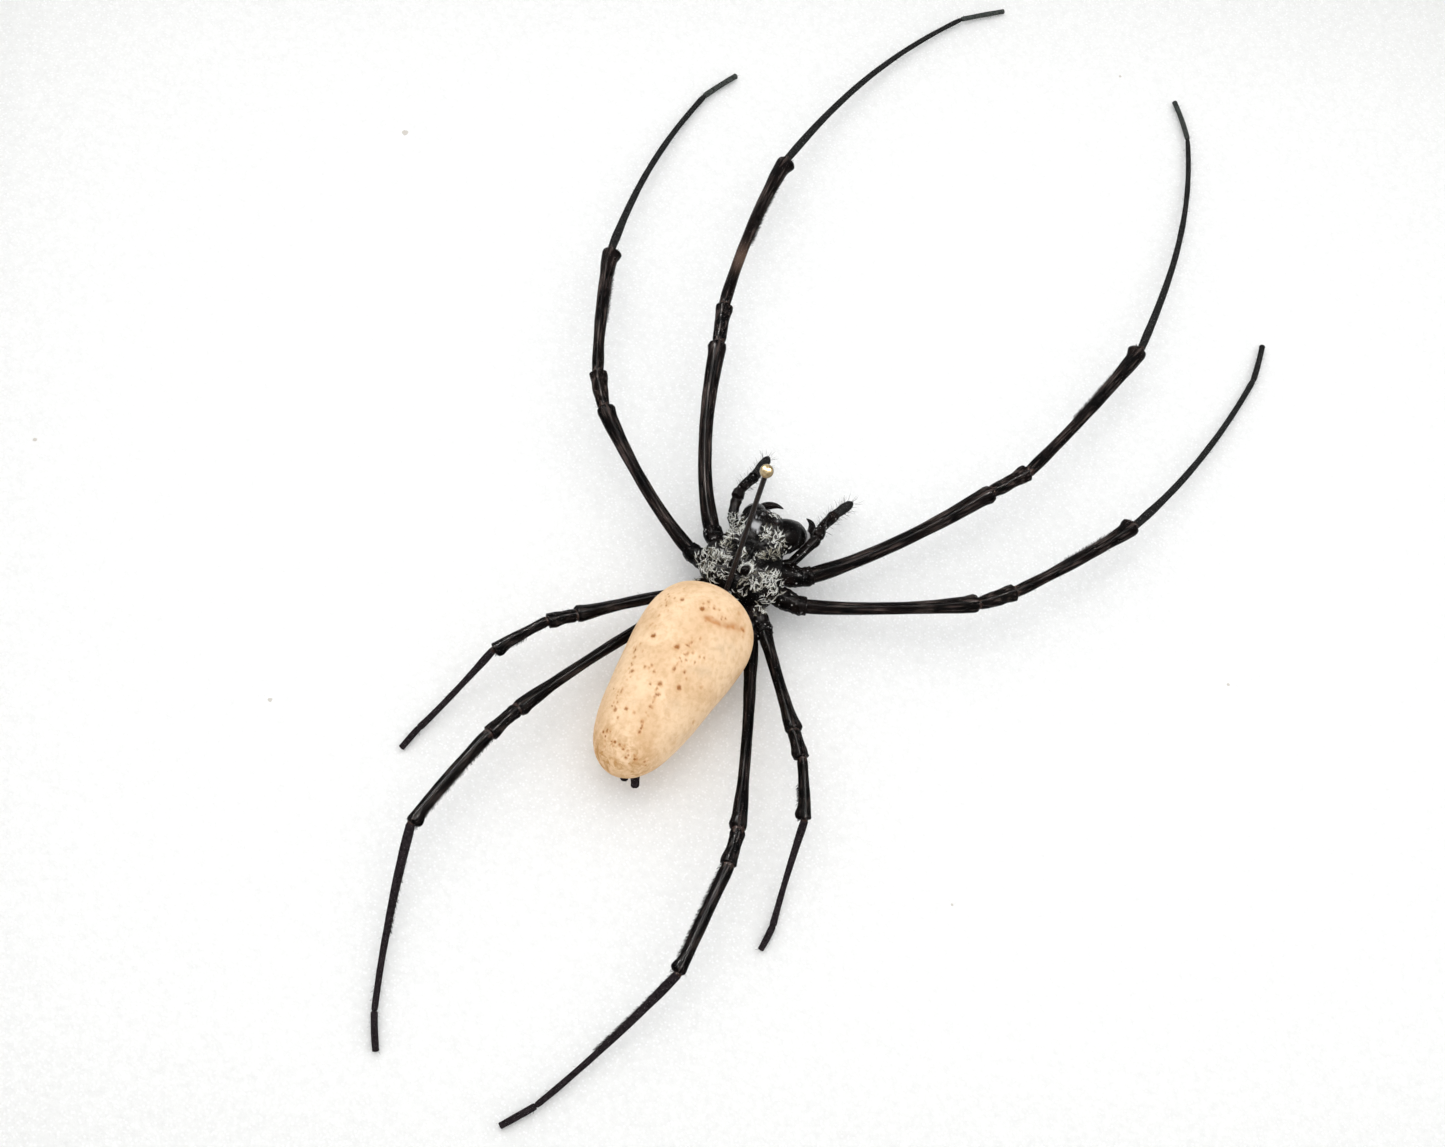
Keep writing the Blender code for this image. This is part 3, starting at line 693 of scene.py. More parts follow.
def tube_along(name, points, widths, section):
    """A limb drawn as a curve with a section swept along it, turned into a closed mesh."""
    drawn = bpy.data.curves.new(name, "CURVE")
    drawn.dimensions = "3D"
    drawn.twist_mode = "Z_UP"
    drawn.bevel_mode = "OBJECT"
    drawn.bevel_object = section
    drawn.use_fill_caps = True
    line = drawn.splines.new("POLY")
    line.points.add(len(points) - 1)
    for knot, point, width in zip(line.points, points, widths):
        knot.co = (*point, 1)
        knot.radius = width
    made = bpy.data.objects.new(name, drawn)
    scene.collection.objects.link(made)
    select_only(made)
    bpy.ops.object.convert(target="MESH")
    made = bpy.context.active_object
    bpy.ops.object.mode_set(mode="EDIT")
    bpy.ops.mesh.select_all(action="SELECT")
    bpy.ops.mesh.remove_doubles(threshold=0.002 * MM)
    bpy.ops.mesh.normals_make_consistent(inside=False)
    bpy.ops.object.mode_set(mode="OBJECT")
    return made


def width_at(knots, share):
    """The width at a share of a segment, eased between its named widths."""
    for (near, near_width), (far, far_width) in zip(knots, knots[1:]):
        if share <= far:
            part = max(0.0, (share - near) / (far - near))
            eased = part * part * (3 - 2 * part)
            return near_width + (far_width - near_width) * eased
    return knots[-1][1]


def roughen(item, size, depth, seed):
    """Lifts a surface by a lumpy noise."""
    points, normals = mesh_points(item)
    set_points(item, points + normals * (depth * noise_over(points, size, seed))[:, None])


def heading(degrees_from_x):
    """The level way at an angle from +X."""
    angle = math.radians(degrees_from_x)
    return Vector((math.cos(angle), math.sin(angle), 0))


CARAPACE_REAR = Vector((-16.6, -15.6, 0)) * MM


def on_carapace(forward, right, up):
    """A point given in mm forward and right of the carapace's rear, and above the foam."""
    flat = (BODY_AHEAD * forward + BODY_RIGHT * right) * MM
    return CARAPACE_REAR + flat + UP * (FOAM_TOP + up * MM)


# Each pair's segment lengths, and the heights above the foam of the hip and of each
# segment's far end, in mm
SEGMENTS = ("femur", "patella", "tibia", "metatarsus", "tarsus")
LEG_LENGTHS = {
    1: (27.0, 5.6, 27.3, 43.0, 7.0),
    2: (22.3, 4.9, 20.4, 34.6, 6.3),
    3: (15.8, 3.5, 7.2, 12.8, 3.2),
    4: (27.3, 4.4, 13.7, 21.3, 4.5),
}
LEG_STEPS = 48
HIP_HEIGHT = 5.2
END_HEIGHTS = (8.5, 8.6, 6.6, 1.0, 0.66)
METATARSUS_DROP = 1.7
FEMUR_BEND = 0.5
PAIR_THICKNESS = {1: 1.02, 2: 0.99, 3: 0.92, 4: 0.92}

# Widths along each long segment in mm, at the same six shares of its length
WIDTH_SHARES = (0.08, 0.25, 0.42, 0.58, 0.75, 0.92)
LEG_WIDTHS = {
    1: {
        "femur": (2.1, 1.8, 1.72, 1.72, 1.9, 2.15),
        "patella": (1.7, 1.8, 1.8, 1.85, 1.95, 2.1),
        "tibia": (1.6, 1.47, 1.47, 1.62, 1.72, 2.12),
        "metatarsus": (1.1, 0.96, 0.87, 0.82, 0.74, 0.68),
        "tarsus": (0.73, 0.73, 0.72, 0.72, 0.7, 0.7),
    },
    2: {
        "femur": (1.85, 1.65, 1.55, 1.55, 1.75, 2.1),
        "patella": (1.65, 1.8, 1.95, 2.0, 2.0, 2.05),
        "tibia": (1.55, 1.42, 1.57, 1.62, 1.67, 2.08),
        "metatarsus": (1.15, 0.96, 0.88, 0.84, 0.8, 0.77),
        "tarsus": (0.8, 0.8, 0.79, 0.79, 0.78, 0.76),
    },
    3: {
        "femur": (1.8, 1.5, 1.45, 1.4, 1.55, 1.9),
        "patella": (1.65, 1.65, 1.65, 1.7, 1.75, 1.75),
        "tibia": (1.3, 1.25, 1.3, 1.4, 1.45, 1.5),
        "metatarsus": (1.0, 0.85, 0.75, 0.75, 0.78, 0.82),
        "tarsus": (0.78, 0.8, 0.8, 0.8, 0.78, 0.75),
    },
    4: {
        "femur": (1.9, 1.55, 1.4, 1.3, 1.4, 1.85),
        "patella": (1.85, 1.68, 1.62, 1.66, 1.75, 1.82),
        "tibia": (1.6, 1.52, 1.52, 1.56, 1.48, 1.45),
        "metatarsus": (1.15, 1.05, 0.92, 0.82, 0.76, 0.75),
        "tarsus": (0.84, 0.84, 0.82, 0.82, 0.82, 0.8),
    },
}
COXA_WIDTHS = ((0.0, 2.0), (0.35, 2.7), (0.75, 2.75), (0.95, 2.3), (1.0, 1.7))
TROCHANTER_WIDTHS = ((0.0, 1.5), (0.15, 2.15), (0.5, 2.45), (0.85, 2.25), (1.0, 1.4))
SEGMENT_RINGS = {
    "coxa": 26, "trochanter": 24, "femur": 34, "patella": 14, "tibia": 40, "metatarsus": 36, "tarsus": 14,
}
TROCHANTER_LENGTH = 2.1
TROCHANTER_BACK = 0.7

# Where the coxae start under the shield, in mm: each as far forward as a share of its hip's
# distance and a little more, the same way out to its side, and at one height
COXA_FAN = 0.55
COXA_FORWARD = 1.9
COXA_OUT = 2.4
COXA_HEIGHT = 4.9

# Each leg: its pair, its hip as (forward, right) of the carapace's rear in mm, and the way
# each segment runs at its start and its end, in degrees from +X. A third number above 1 keeps
# a segment's bend for its far end.
LEGS = {
    "left_1": (1, (7.0, -5.5), ((108.4, 77.4), (81.5, 81.5), (75, 63.6), (58.3, 33.4, 1.5), (21, 18))),
    "right_1": (1, (8.1, 6.5), ((10.8, 32.5), (30, 31), (46.3, 52.3), (63.5, 86, 1.8), (93, 103))),
    "left_2": (2, (3.5, -6.3), ((137, 113), (100, 97), (88, 80), (74, 54, 1.4), (45, 39))),
    "right_2": (2, (4.3, 7.7), ((-11, 3), (19, 21), (30, 36), (44, 58), (66, 72))),
    "left_3": (3, (-1.2, -4.0), ((192, 204), (194, 196), (205, 207), (220, 226), (230, 232))),
    "right_3": (3, (-0.6, 5.6), ((278, 280), (282, 284), (275, 270), (252, 254), (245, 238))),
    "left_4": (4, (-2.3, -3.4), ((209, 222), (224, 226), (228, 233), (256, 265), (271, 277))),
    "right_4": (4, (-2.2, 4.7), ((269, 261), (254, 253), (244, 245), (223, 219), (210, 208))),
}


def leg_lines(pair, hip, ways):
    """The middle line of each segment of a leg, by name, from its coxa to its tip."""
    inner = on_carapace(hip[0] * COXA_FAN + COXA_FORWARD, math.copysign(COXA_OUT, hip[1]), COXA_HEIGHT)
    point = on_carapace(*hip, HIP_HEIGHT)
    lines = {"coxa": [inner, point + (point - inner) * 0.02]}
    height = HIP_HEIGHT
    runs = zip(SEGMENTS, LEG_LENGTHS[pair], END_HEIGHTS, ways)
    for segment, length, end_height, (way_start, way_end, *late) in runs:
        drop = METATARSUS_DROP if segment == "metatarsus" else 1.0
        bend = late[0] if late else FEMUR_BEND if segment == "femur" else 1.0
        flat_length = math.sqrt(length**2 - (height - end_height) ** 2)
        line = [point.copy()]
        for i in range(LEG_STEPS):
            way = way_start + (way_end - way_start) * ((i + 0.5) / LEG_STEPS) ** bend
            line.append(line[-1] + heading(way) * flat_length / LEG_STEPS * MM)
        for i, place in enumerate(line):
            left = (1 - i / LEG_STEPS) ** drop
            place.z = FOAM_TOP + (end_height + (height - end_height) * left) * MM
        lines[segment] = line
        point = line[-1]
        height = end_height
    back = (lines["femur"][1] - lines["femur"][0]).normalized() * TROCHANTER_BACK * MM
    start = lines["femur"][0] - back
    thick = PAIR_THICKNESS[pair]
    reach = (lines["femur"][2] - start).normalized() * TROCHANTER_LENGTH * thick * MM
    lines["trochanter"] = [start, start + reach]
    return lines


def along(line, share):
    """The point at a share of a line's length."""
    at = min(max(share, 0.0), 1.0) * (len(line) - 1)
    near = min(int(at), len(line) - 2)
    return line[near].lerp(line[near + 1], at - near)


def ring_shares(knots, count):
    """Where a segment has its rings: evenly, and at each of its named widths."""
    shares = {round(i / count, 4) for i in range(count + 1)}
    shares |= {round(share, 4) for share, _ in knots}
    ordered = sorted(shares)
    kept = [ordered[0]]
    for share in ordered[1:]:
        if share - kept[-1] > 0.004:
            kept.append(share)
    return kept


def segment_knots(pair, segment):
    """The widths of a segment as (share of its length, width in mm), drawn in at both ends."""
    thick = PAIR_THICKNESS[pair]
    if segment in ("coxa", "trochanter"):
        knots = COXA_WIDTHS if segment == "coxa" else TROCHANTER_WIDTHS
        return tuple((share, width * thick) for share, width in knots)
    widths = LEG_WIDTHS[pair][segment]
    start = ((0.0, 0.7 * widths[0]), (0.012, 0.93 * widths[0]))
    end = ((0.97, 1.04 * widths[-1]), (0.99, 0.94 * widths[-1]), (1.0, 0.66 * widths[-1]))
    return (*start, *zip(WIDTH_SHARES, widths), *end)


KNOB_HEIGHT = {"femur": 0.22, "patella": 0.2, "tibia": 0.42}
KNOB_REACH = 0.75


def add_knob(part, line, inner, height):
    """Swells a segment's far end on the side that the leg bends to, where its lip stands out."""
    points, normals = mesh_points(part)
    end = np.array(line[-1])
    way = np.array((line[-1] - line[-4]).normalized())
    before_end = (end - points) @ way / (KNOB_REACH * MM)
    toward = np.clip(normals @ np.array(inner), 0, 1)
    swell = height * MM * toward * np.exp(-((before_end - 0.9) ** 2))
    set_points(part, points + np.array(inner) * swell[:, None])


def knotted_tube(name, line, knots, rings, section):
    """A segment along a line, with rings enough to carry its named widths."""
    shares = ring_shares(knots, rings)
    points = [along(line, share) for share in shares]
    widths = [width_at(knots, share) * MM for share in shares]
    return tube_along(name, points, widths, section)


CUTICLE_BLACK = (0.0010, 0.0009, 0.0009)
CUTICLE_RED = (0.007, 0.004, 0.0034)
WORN_BROWN = (0.12, 0.075, 0.055)
PAINTED_GLINT_GREY = (0.42, 0.41, 0.40)
JOINT_BROWN = (0.042, 0.026, 0.021)
BROWN_AND_SHEEN_STREAK = (0.072, 0.053, 0.047)
STREAK_STRETCH = (5, 11, 1)


def glossy_cuticle(name, red, gloss, bosses=0.0, worn_colour=WORN_BROWN, brown_and_sheen_streaks=0.0, painted_glints=False):
    """Hard black cuticle, browner in places, with brown streaks that are partly painted highlight lines and,
    where asked, painted glints on its bumps; bosses is the height of its bumps in mm.
    """
    made, tree, shader = new_material(name, Specular_IOR_Level=0.03)
    broad = grain_of(tree, 420, detail=3, roughness=0.6, distortion=0.5)
    fine = grain_of(tree, 1500 if bosses else 3000, detail=1, roughness=0.5)
    colour = ramp(tree, broad, (0.42, CUTICLE_BLACK), (0.68, red))
    # Streaks along the limb: partly the cuticle's own brown tone, partly painted highlight lines.
    if brown_and_sheen_streaks:
        laid = node(tree, "Mapping", {"Vector": node(tree, "UVMap").outputs[0], "Scale": STREAK_STRETCH})
        values = {"Vector": laid.outputs[0], "Scale": 1.0, "Detail": 3, "Roughness": 0.6}
        lines = node(tree, "TexNoise", values).outputs["Fac"]
        lines = ramp(tree, lines, (0.51, (0, 0, 0)), (0.68, (1, 1, 1)))
        colour = mix_colour(tree, multiplied(tree, lines, brown_and_sheen_streaks), colour, BROWN_AND_SHEEN_STREAK)
    # Painted glints: pale grey dots on the tops of scattered bumps, mixed into the colour.
    if painted_glints:
        place = node(tree, "TexCoord").outputs["Object"]
        glint_dots = node(tree, "TexVoronoi", {"Vector": place, "Scale": 1900.0}).outputs["Distance"]
        glint_dots = ramp(tree, glint_dots, (0.13, (1, 1, 1)), (0.24, (0, 0, 0)))
        spread = ramp(tree, grain_of(tree, 1300), (0.50, (0, 0, 0)), (0.56, (1, 1, 1)))
        colour = mix_colour(tree, multiplied(tree, glint_dots, spread), colour, PAINTED_GLINT_GREY)
    colour = mix_colour(tree, multiplied(tree, attribute(tree, "worn"), 0.8), colour, worn_colour)
    tree.links.new(colour, shader.inputs["Base Color"])
    vary_roughness(tree, shader, broad, gloss - 0.04, gloss + 0.12)
    raise_by(tree, shader, fine, max(bosses, 0.018) * MM, 0.5)
    return made


def velvet_cuticle(name, dark, light):
    """Dull cuticle under a close nap of fine hair."""
    nap = {"scale": 3200, "detail": 3, "roughness": 0.65}
    matt = {"Roughness": 0.8, "Specular_IOR_Level": 0.0}
    return mottled(name, nap, (0.3, dark), (0.7, light), bump=(0.0001, 0.9), **matt)


cuticle_front = glossy_cuticle("streaked_cuticle", CUTICLE_RED, 0.15, brown_and_sheen_streaks=1.0)
cuticle_rear = glossy_cuticle("black_cuticle", (0.0035, 0.0022, 0.002), 0.15, brown_and_sheen_streaks=0.5)
# The bossed cuticle of the hips and palps carries painted glints on its bumps.
bossed = glossy_cuticle("bossed_cuticle", CUTICLE_RED, 0.12, 0.2, painted_glints=True)
membrane = mottled(
    "joint_skin", {"scale": 2500}, (0.42, (0.02, 0.009, 0.006)), (0.66, JOINT_BROWN),
    bump=(0.00004, 0.6), Roughness=0.4, Specular_IOR_Level=0.04,
)
velvet_front = velvet_cuticle("velvet_cuticle", (0.007, 0.007, 0.0069), (0.037, 0.036, 0.0355))
velvet_rear = velvet_cuticle("brown_velvet_cuticle", (0.006, 0.0048, 0.0053), (0.036, 0.028, 0.031))
velvet_tip = velvet_cuticle("tip_velvet_cuticle", (0.015, 0.0165, 0.0152), (0.084, 0.093, 0.085))

# The soft skin at a joint: a short sleeve between two segments
JOINTS = (("femur", "patella"), ("patella", "tibia"), ("tibia", "metatarsus"))
SLEEVE_REACH = 0.55 * MM
SLEEVE_WIDTH = 0.86

# The worn band on the first left leg, as a pixel of the photograph and its reach in pixels
WORN_BAND = (742, 258)
WORN_REACH = 12

SMOOTH_BELOW = math.radians(50)
LUMP_SIZE = 2.4 * MM
LUMP_HEIGHT = 0.035 * MM
KNUCKLE_LUMP_SIZE = 0.42 * MM
KNUCKLE_LUMP_HEIGHT = 0.12 * MM
KNEE_LUMP_SIZE = 1.0 * MM
KNEE_LUMP_HEIGHT = 0.09 * MM


def joint_sleeve(name, lines, before, after, pair):
    """The short tube of thin skin between two segments."""
    start = lines[before][-1]
    back = (lines[before][-4] - start).normalized() * SLEEVE_REACH
    ahead = (lines[after][3] - start).normalized() * SLEEVE_REACH
    points = [start + back, start + back * 0.4, start + ahead * 0.4, start + ahead]
    width = SLEEVE_WIDTH * min(LEG_WIDTHS[pair][before][-1], LEG_WIDTHS[pair][after][0]) * MM
    return tube_along(f"{name}_sleeve_{after}", points, [width] * 4, plain_round)


def bend_side(lines, before, after):
    """The level way, across the leg, that its next segment bends to."""
    here = (lines[before][-1] - lines[before][-4]).normalized()
    ahead = (lines[after][3] - lines[after][0]).normalized()
    across = here.cross(UP).normalized()
    return across if ahead.dot(across) > 0 else -across


def make_leg(name, pair, hip, ways):
    """A leg of seven segments and its joint skin, joined as one piece; gives back its lines."""
    lines = leg_lines(pair, hip, ways)
    velvet = velvet_front if pair < 3 else velvet_rear
    tip = velvet_tip if name in ("left_1", "right_1", "left_2") else velvet
    finishes = {"coxa": bossed, "trochanter": bossed, "metatarsus": velvet, "tarsus": tip}
    parts = []
    for segment in ("coxa", "trochanter", *SEGMENTS):
        knuckle = segment in ("coxa", "trochanter")
        section = fine_round if knuckle else plain_round if segment in ("metatarsus", "tarsus") else grooved
        knots = segment_knots(pair, segment)
        part = knotted_tube(f"{name}_{segment}", lines[segment], knots, SEGMENT_RINGS[segment], section)
        if knuckle:
            roughen(part, KNUCKLE_LUMP_SIZE, KNUCKLE_LUMP_HEIGHT, pair + hip[1])
        else:
            roughen(part, LUMP_SIZE, LUMP_HEIGHT, pair + hip[0])
        if segment == "patella":
            roughen(part, KNEE_LUMP_SIZE, KNEE_LUMP_HEIGHT, pair - hip[0])
        if segment in KNOB_HEIGHT:
            after = SEGMENTS[SEGMENTS.index(segment) + 1]
            add_knob(part, lines[segment], bend_side(lines, segment, after), KNOB_HEIGHT[segment])
        part.data.materials.append(finishes.get(segment, cuticle_front if pair < 3 else cuticle_rear))
        parts.append(part)
    for before, after in JOINTS:
        sleeve = joint_sleeve(name, lines, before, after, pair)
        sleeve.data.materials.append(membrane)
        parts.append(sleeve)
    leg = joined("leg_" + name, parts)
    bpy.ops.object.shade_smooth_by_angle(angle=SMOOTH_BELOW)
    if name == "left_1":
        away = picture_pixels(mesh_points(leg)[0]) - np.array(WORN_BAND)
        store(leg, "worn", np.exp(-((np.linalg.norm(away, axis=1) / WORN_REACH) ** 2)))
    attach(leg, "root")
    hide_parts("spider")
    return lines


leg_middles = {name: make_leg(name, *leg) for name, leg in LEGS.items()}


# Palps: a pair of short feelers of bossed black cuticle that stand beside the jaws. Each has
# five knobbly segments and a dull, bristly tip.
PALPS = {
    "palp_left": (
        (8.5, -2.6, 4.6), (11.0, -5.1, 4.9), (13.2, -5.75, 5.3),
        (14.6, -6.0, 5.5), (17.9, -5.55, 4.4), (22.1, -5.6, 3.0),
    ),
    "palp_right": (
        (7.4, 2.4, 4.8), (9.2, 4.3, 4.9), (13.8, 5.45, 5.4),
        (15.3, 5.2, 5.5), (18.5, 5.6, 4.4), (22.2, 6.5, 3.0),
    ),
}
PALP_SEGMENT_WIDTHS = (
    ((0.0, 1.2), (1.0, 1.3)), ((0.0, 1.1), (0.1, 1.3), (0.5, 1.25), (0.9, 1.5), (1.0, 1.3)),
    ((0.0, 1.2), (0.3, 1.65), (0.8, 1.5), (1.0, 1.15)),
    ((0.0, 1.1), (0.12, 1.3), (0.6, 1.35), (0.93, 1.5), (1.0, 1.1)),
    ((0.0, 1.05), (0.1, 1.25), (0.5, 1.3), (0.85, 1.15), (1.0, 0.5)),
)
PALP_RINGS = 12
PALP_LUMP_SIZE = 0.8 * MM
PALP_LUMP_HEIGHT = 0.08 * MM
palp_lines = {}
for name, places in PALPS.items():
    middles = [on_carapace(*place) for place in places]
    palp_lines[name] = middles
    parts = []
    for number, knots in enumerate(PALP_SEGMENT_WIDTHS):
        part = knotted_tube(f"{name}_{number}", middles[number:number + 2], knots, PALP_RINGS, plain_round)
        roughen(part, PALP_LUMP_SIZE, PALP_LUMP_HEIGHT, number)
        part.data.materials.append(velvet_front if number == 4 else bossed)
        parts.append(part)
    palp = joined(name, parts)
    bpy.ops.object.shade_smooth_by_angle(angle=SMOOTH_BELOW)
    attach(palp, "root")
    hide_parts("spider")


# Carapace: the shield over the head and chest, one shell of hard black cuticle with a raised
# head, a furrow down its middle, radiating hollows behind and a pale scurf in front.

# Its outline as (distance from the rear, half width, top, underside) in mm
CARAPACE_STATIONS = (
    (0.0, 1.3, 6.6, 5.0), (0.6, 3.3, 7.6, 4.0), (1.8, 4.8, 8.5, 3.3), (3.6, 5.5, 9.0, 3.0),
    (5.4, 5.3, 9.0, 3.0), (7.0, 4.3, 8.9, 3.1), (8.4, 3.6, 9.1, 3.3), (10.0, 3.3, 9.3, 3.6),
    (11.4, 2.9, 9.0, 4.0), (12.5, 2.2, 8.0, 4.6), (13.0, 1.2, 7.2, 5.4),
)
HEAD_SHIFT = -0.35
CARAPACE_RINGS = 60
CARAPACE_SIDES = 96
FURROW_DEPTH = 0.7
FURROW_HALF_WIDTH = 0.55
FURROW_MIDDLE = 3.6
FURROW_HALF_LENGTH = 3.2
HOLLOWS_FROM = 3.4
HOLLOW_ANGLES = (0.75, 1.35, 1.95, 2.55)
HOLLOW_HALF_ANGLE = 0.13
HOLLOW_DEPTH = 0.28
NECK_AT = 7.3
NECK_HALF_LENGTH = 0.8
NECK_DEPTH = 0.35

# The shield's lumps, coarse and fine: height and size in mm, and the seed of their noise
SHIELD_LUMPS = ((0.16, 1.3, 4.4), (0.06, 0.45, 9.1))

# The scurf as a pixel of the photograph, with its half width and half height
SCURF_MIDDLE = (756, 526)
SCURF_HALF = (4, 5.5)
SCURF_RAGGED_SIZE = 0.28 * MM
SCURF_GREY = (0.50, 0.50, 0.51)


def station_at(forward):
    """Half width, top and underside of the carapace at a distance from its rear."""
    for near, far in zip(CARAPACE_STATIONS, CARAPACE_STATIONS[1:]):
        if forward <= far[0]:
            share = (forward - near[0]) / (far[0] - near[0])
            return [near[i] + (far[i] - near[i]) * share for i in (1, 2, 3)]
    return list(CARAPACE_STATIONS[-1][1:])


def ring_faces(rings, sides):
    """The four-sided faces of a tube, from each ring of corners to the next."""
    faces = []
    for ring in range(rings):
        for side in range(sides):
            near = ring * sides + side
            far = ring * sides + (side + 1) % sides
            faces.append((near, far, far + sides, near + sides))
    return faces


def make_carapace():
    """A ring of points pushed out station by station along the body, closed at both ends."""
    length = CARAPACE_STATIONS[-1][0]
    corners = []
    for ring in range(CARAPACE_RINGS + 1):
        forward = length * (1 - math.cos(math.pi * ring / CARAPACE_RINGS)) / 2
        half_width, top, under = station_at(forward)
        if ring in (0, CARAPACE_RINGS):
            half_width *= 0.4
        middle = (top + under) / 2
        for side in range(CARAPACE_SIDES):
            angle = 2 * math.pi * side / CARAPACE_SIDES
            right = half_width * math.cos(angle) + HEAD_SHIFT * min(1.0, forward / 8)
            lift = math.sin(angle)
            up = middle + (top - under) / 2 * math.copysign(abs(lift) ** 0.8, lift)
            corners.append(on_carapace(forward, right, up))
    rear_end = tuple(range(CARAPACE_SIDES))
    front_end = tuple(range(len(corners) - CARAPACE_SIDES, len(corners)))
    faces = [*ring_faces(CARAPACE_RINGS, CARAPACE_SIDES), rear_end, front_end]
    made = mesh_object("carapace", corners, [], faces)
    select_only(made)
    bpy.ops.object.mode_set(mode="EDIT")
    bpy.ops.mesh.select_all(action="SELECT")
    bpy.ops.mesh.normals_make_consistent(inside=False)
    bpy.ops.mesh.vertices_smooth(factor=0.5, repeat=6)
    bpy.ops.object.mode_set(mode="OBJECT")
    bpy.ops.object.shade_smooth()
    return made


def shape_carapace(item):
    """Sinks the furrow, the hollows and the neck into the shield, and makes it lumpy."""
    points, normals = mesh_points(item)
    local = points - np.array(on_carapace(0, 0, 0))
    forward = local @ np.array(BODY_AHEAD) / MM
    right = local @ np.array(BODY_RIGHT) / MM
    upward = np.clip(normals[:, 2], 0, 1)
    furrow = np.exp(-((right / FURROW_HALF_WIDTH) ** 2))
    furrow *= np.exp(-(((forward - FURROW_MIDDLE) / FURROW_HALF_LENGTH) ** 2))
    angle = np.arctan2(np.abs(right), forward - HOLLOWS_FROM)
    hollows = np.zeros(len(points))
    for hollow in HOLLOW_ANGLES:
        hollows += np.exp(-(((angle - hollow) / HOLLOW_HALF_ANGLE) ** 2))
    reach = np.hypot(right, forward - HOLLOWS_FROM)
    hollows *= np.clip((reach - 1.2) / 1.5, 0, 1) * HOLLOW_DEPTH
    before_neck = (forward - NECK_AT + 0.25 * np.abs(right)) / NECK_HALF_LENGTH
    neck = NECK_DEPTH * np.exp(-(before_neck**2))
    lumps = sum(height * noise_over(points, size * MM, seed) for height, size, seed in SHIELD_LUMPS)
    lift = (lumps - (FURROW_DEPTH * furrow + hollows + neck)) * upward * MM
    set_points(item, points + normals * lift[:, None])


def scurf_on(points):
    """How much of a pale scurf lies at each point: one patch on the bald front of the head."""
    away = (picture_pixels(points) - np.array(SCURF_MIDDLE)) / np.array(SCURF_HALF)
    ragged = 1 + 0.9 * noise_over(points, SCURF_RAGGED_SIZE, 7.7)
    return np.clip(2.6 - 2.4 * ragged * np.linalg.norm(away, axis=1), 0, 1)


carapace = make_carapace()
shape_carapace(carapace)
store(carapace, "worn", scurf_on(mesh_points(carapace)[0]))
carapace.data.materials.append(glossy_cuticle("shield_cuticle", (0.006, 0.0045, 0.004), 0.2, 0.3, SCURF_GREY))
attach(carapace, "root")
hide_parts("spider")


# Jaws, fangs, horns, waist and spinnerets: small parts of black cuticle, grown with the body.
# The swollen jaws end in curved fangs, two blunt horns stand on the shield, a narrow waist
# carries the abdomen, and two dull nubs close its rear.

# Each part's points in two halves, from its root on, as (forward, right, up) in mm, then its
# widths in mm
HEAD_PARTS = {
    "jaw_left": (
        ((10.0, -1.6, 6.4), (10.7, -2.0, 6.3), (11.6, -2.4, 5.9)),
        ((12.8, -2.7, 4.7), (13.5, -2.8, 3.5), (13.7, -2.8, 3.1)),
        (1.8, 2.9, 3.5, 3.3, 2.0, 1.0),
    ),
    "jaw_right": (
        ((8.6, 0.9, 6.3), (9.8, 1.4, 6.6), (11.2, 1.9, 6.3)),
        ((12.6, 2.6, 5.1), (13.5, 3.3, 3.7), (13.7, 3.5, 3.2)),
        (2.2, 4.0, 4.55, 3.9, 2.3, 1.0),
    ),
    "fang_left": (
        ((13.6, -2.8, 3.6), (14.3, -2.8, 3.5), (15.4, -2.5, 3.3)),
        ((16.1, -1.9, 3.15), (16.5, -1.2, 3.05), (16.6, -0.4, 3.0)),
        (0.8, 1.3, 1.15, 0.95, 0.6, 0.08),
    ),
    "fang_right": (
        ((13.3, 3.6, 3.7), (13.9, 3.8, 3.55), (15.1, 4.2, 3.35)),
        ((16.0, 4.0, 3.15), (16.7, 3.5, 3.1), (17.0, 2.7, 3.0)),
        (0.8, 1.3, 1.2, 1.05, 0.7, 0.08),
    ),
    "horn_left": (
        ((3.0, -1.1, 8.0), (3.0, -1.1, 9.0)),
        ((3.0, -1.1, 9.5), (3.0, -1.1, 9.75)),
        (1.2, 1.15, 0.9, 0.2),
    ),
    "horn_right": (
        ((3.0, 0.5, 8.0), (3.0, 0.5, 9.0)),
        ((3.0, 0.5, 9.5), (3.0, 0.5, 9.75)),
        (1.2, 1.15, 0.9, 0.2),
    ),
    "waist": (
        ((1.5, -0.3, 5.6), (0.3, -0.35, 6.0)),
        ((-1.0, -0.4, 6.3), (-2.5, -0.4, 6.6)),
        (2.3, 1.9, 1.8, 2.4),
    ),
}
PART_RINGS = 20
PART_LUMP_SIZE = 0.7 * MM


def smooth_point(places, at):
    """The point a share past one of the places, on a smooth line through them all."""
    i = min(int(at), len(places) - 2)
    part = at - i
    before, near, far, beyond = (places[min(max(i + step, 0), len(places) - 1)] for step in (-1, 0, 1, 2))
    curve = (before * 2 - near * 5 + far * 4 - beyond) * part**2
    twist = (near * 3 - before - far * 3 + beyond) * part**3
    return (near * 2 + (far - before) * part + curve + twist) * 0.5


def add_part(name, places, widths, finish, lumps=0.0):
    """A small solid part of the spider: a round tube along a smooth line, eased in width."""
    shares = np.linspace(0, 1, PART_RINGS)
    points = [smooth_point(places, share * (len(places) - 1)) for share in shares]
    thick = np.interp(shares, np.linspace(0, 1, len(widths)), widths) * MM
    made = tube_along(name, points, thick, plain_round)
    if lumps:
        roughen(made, PART_LUMP_SIZE, lumps * MM, len(name))
    made.data.materials.append(finish)
    select_only(made)
    bpy.ops.object.shade_smooth_by_angle(angle=math.radians(60))
    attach(made, "root")
    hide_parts("spider")


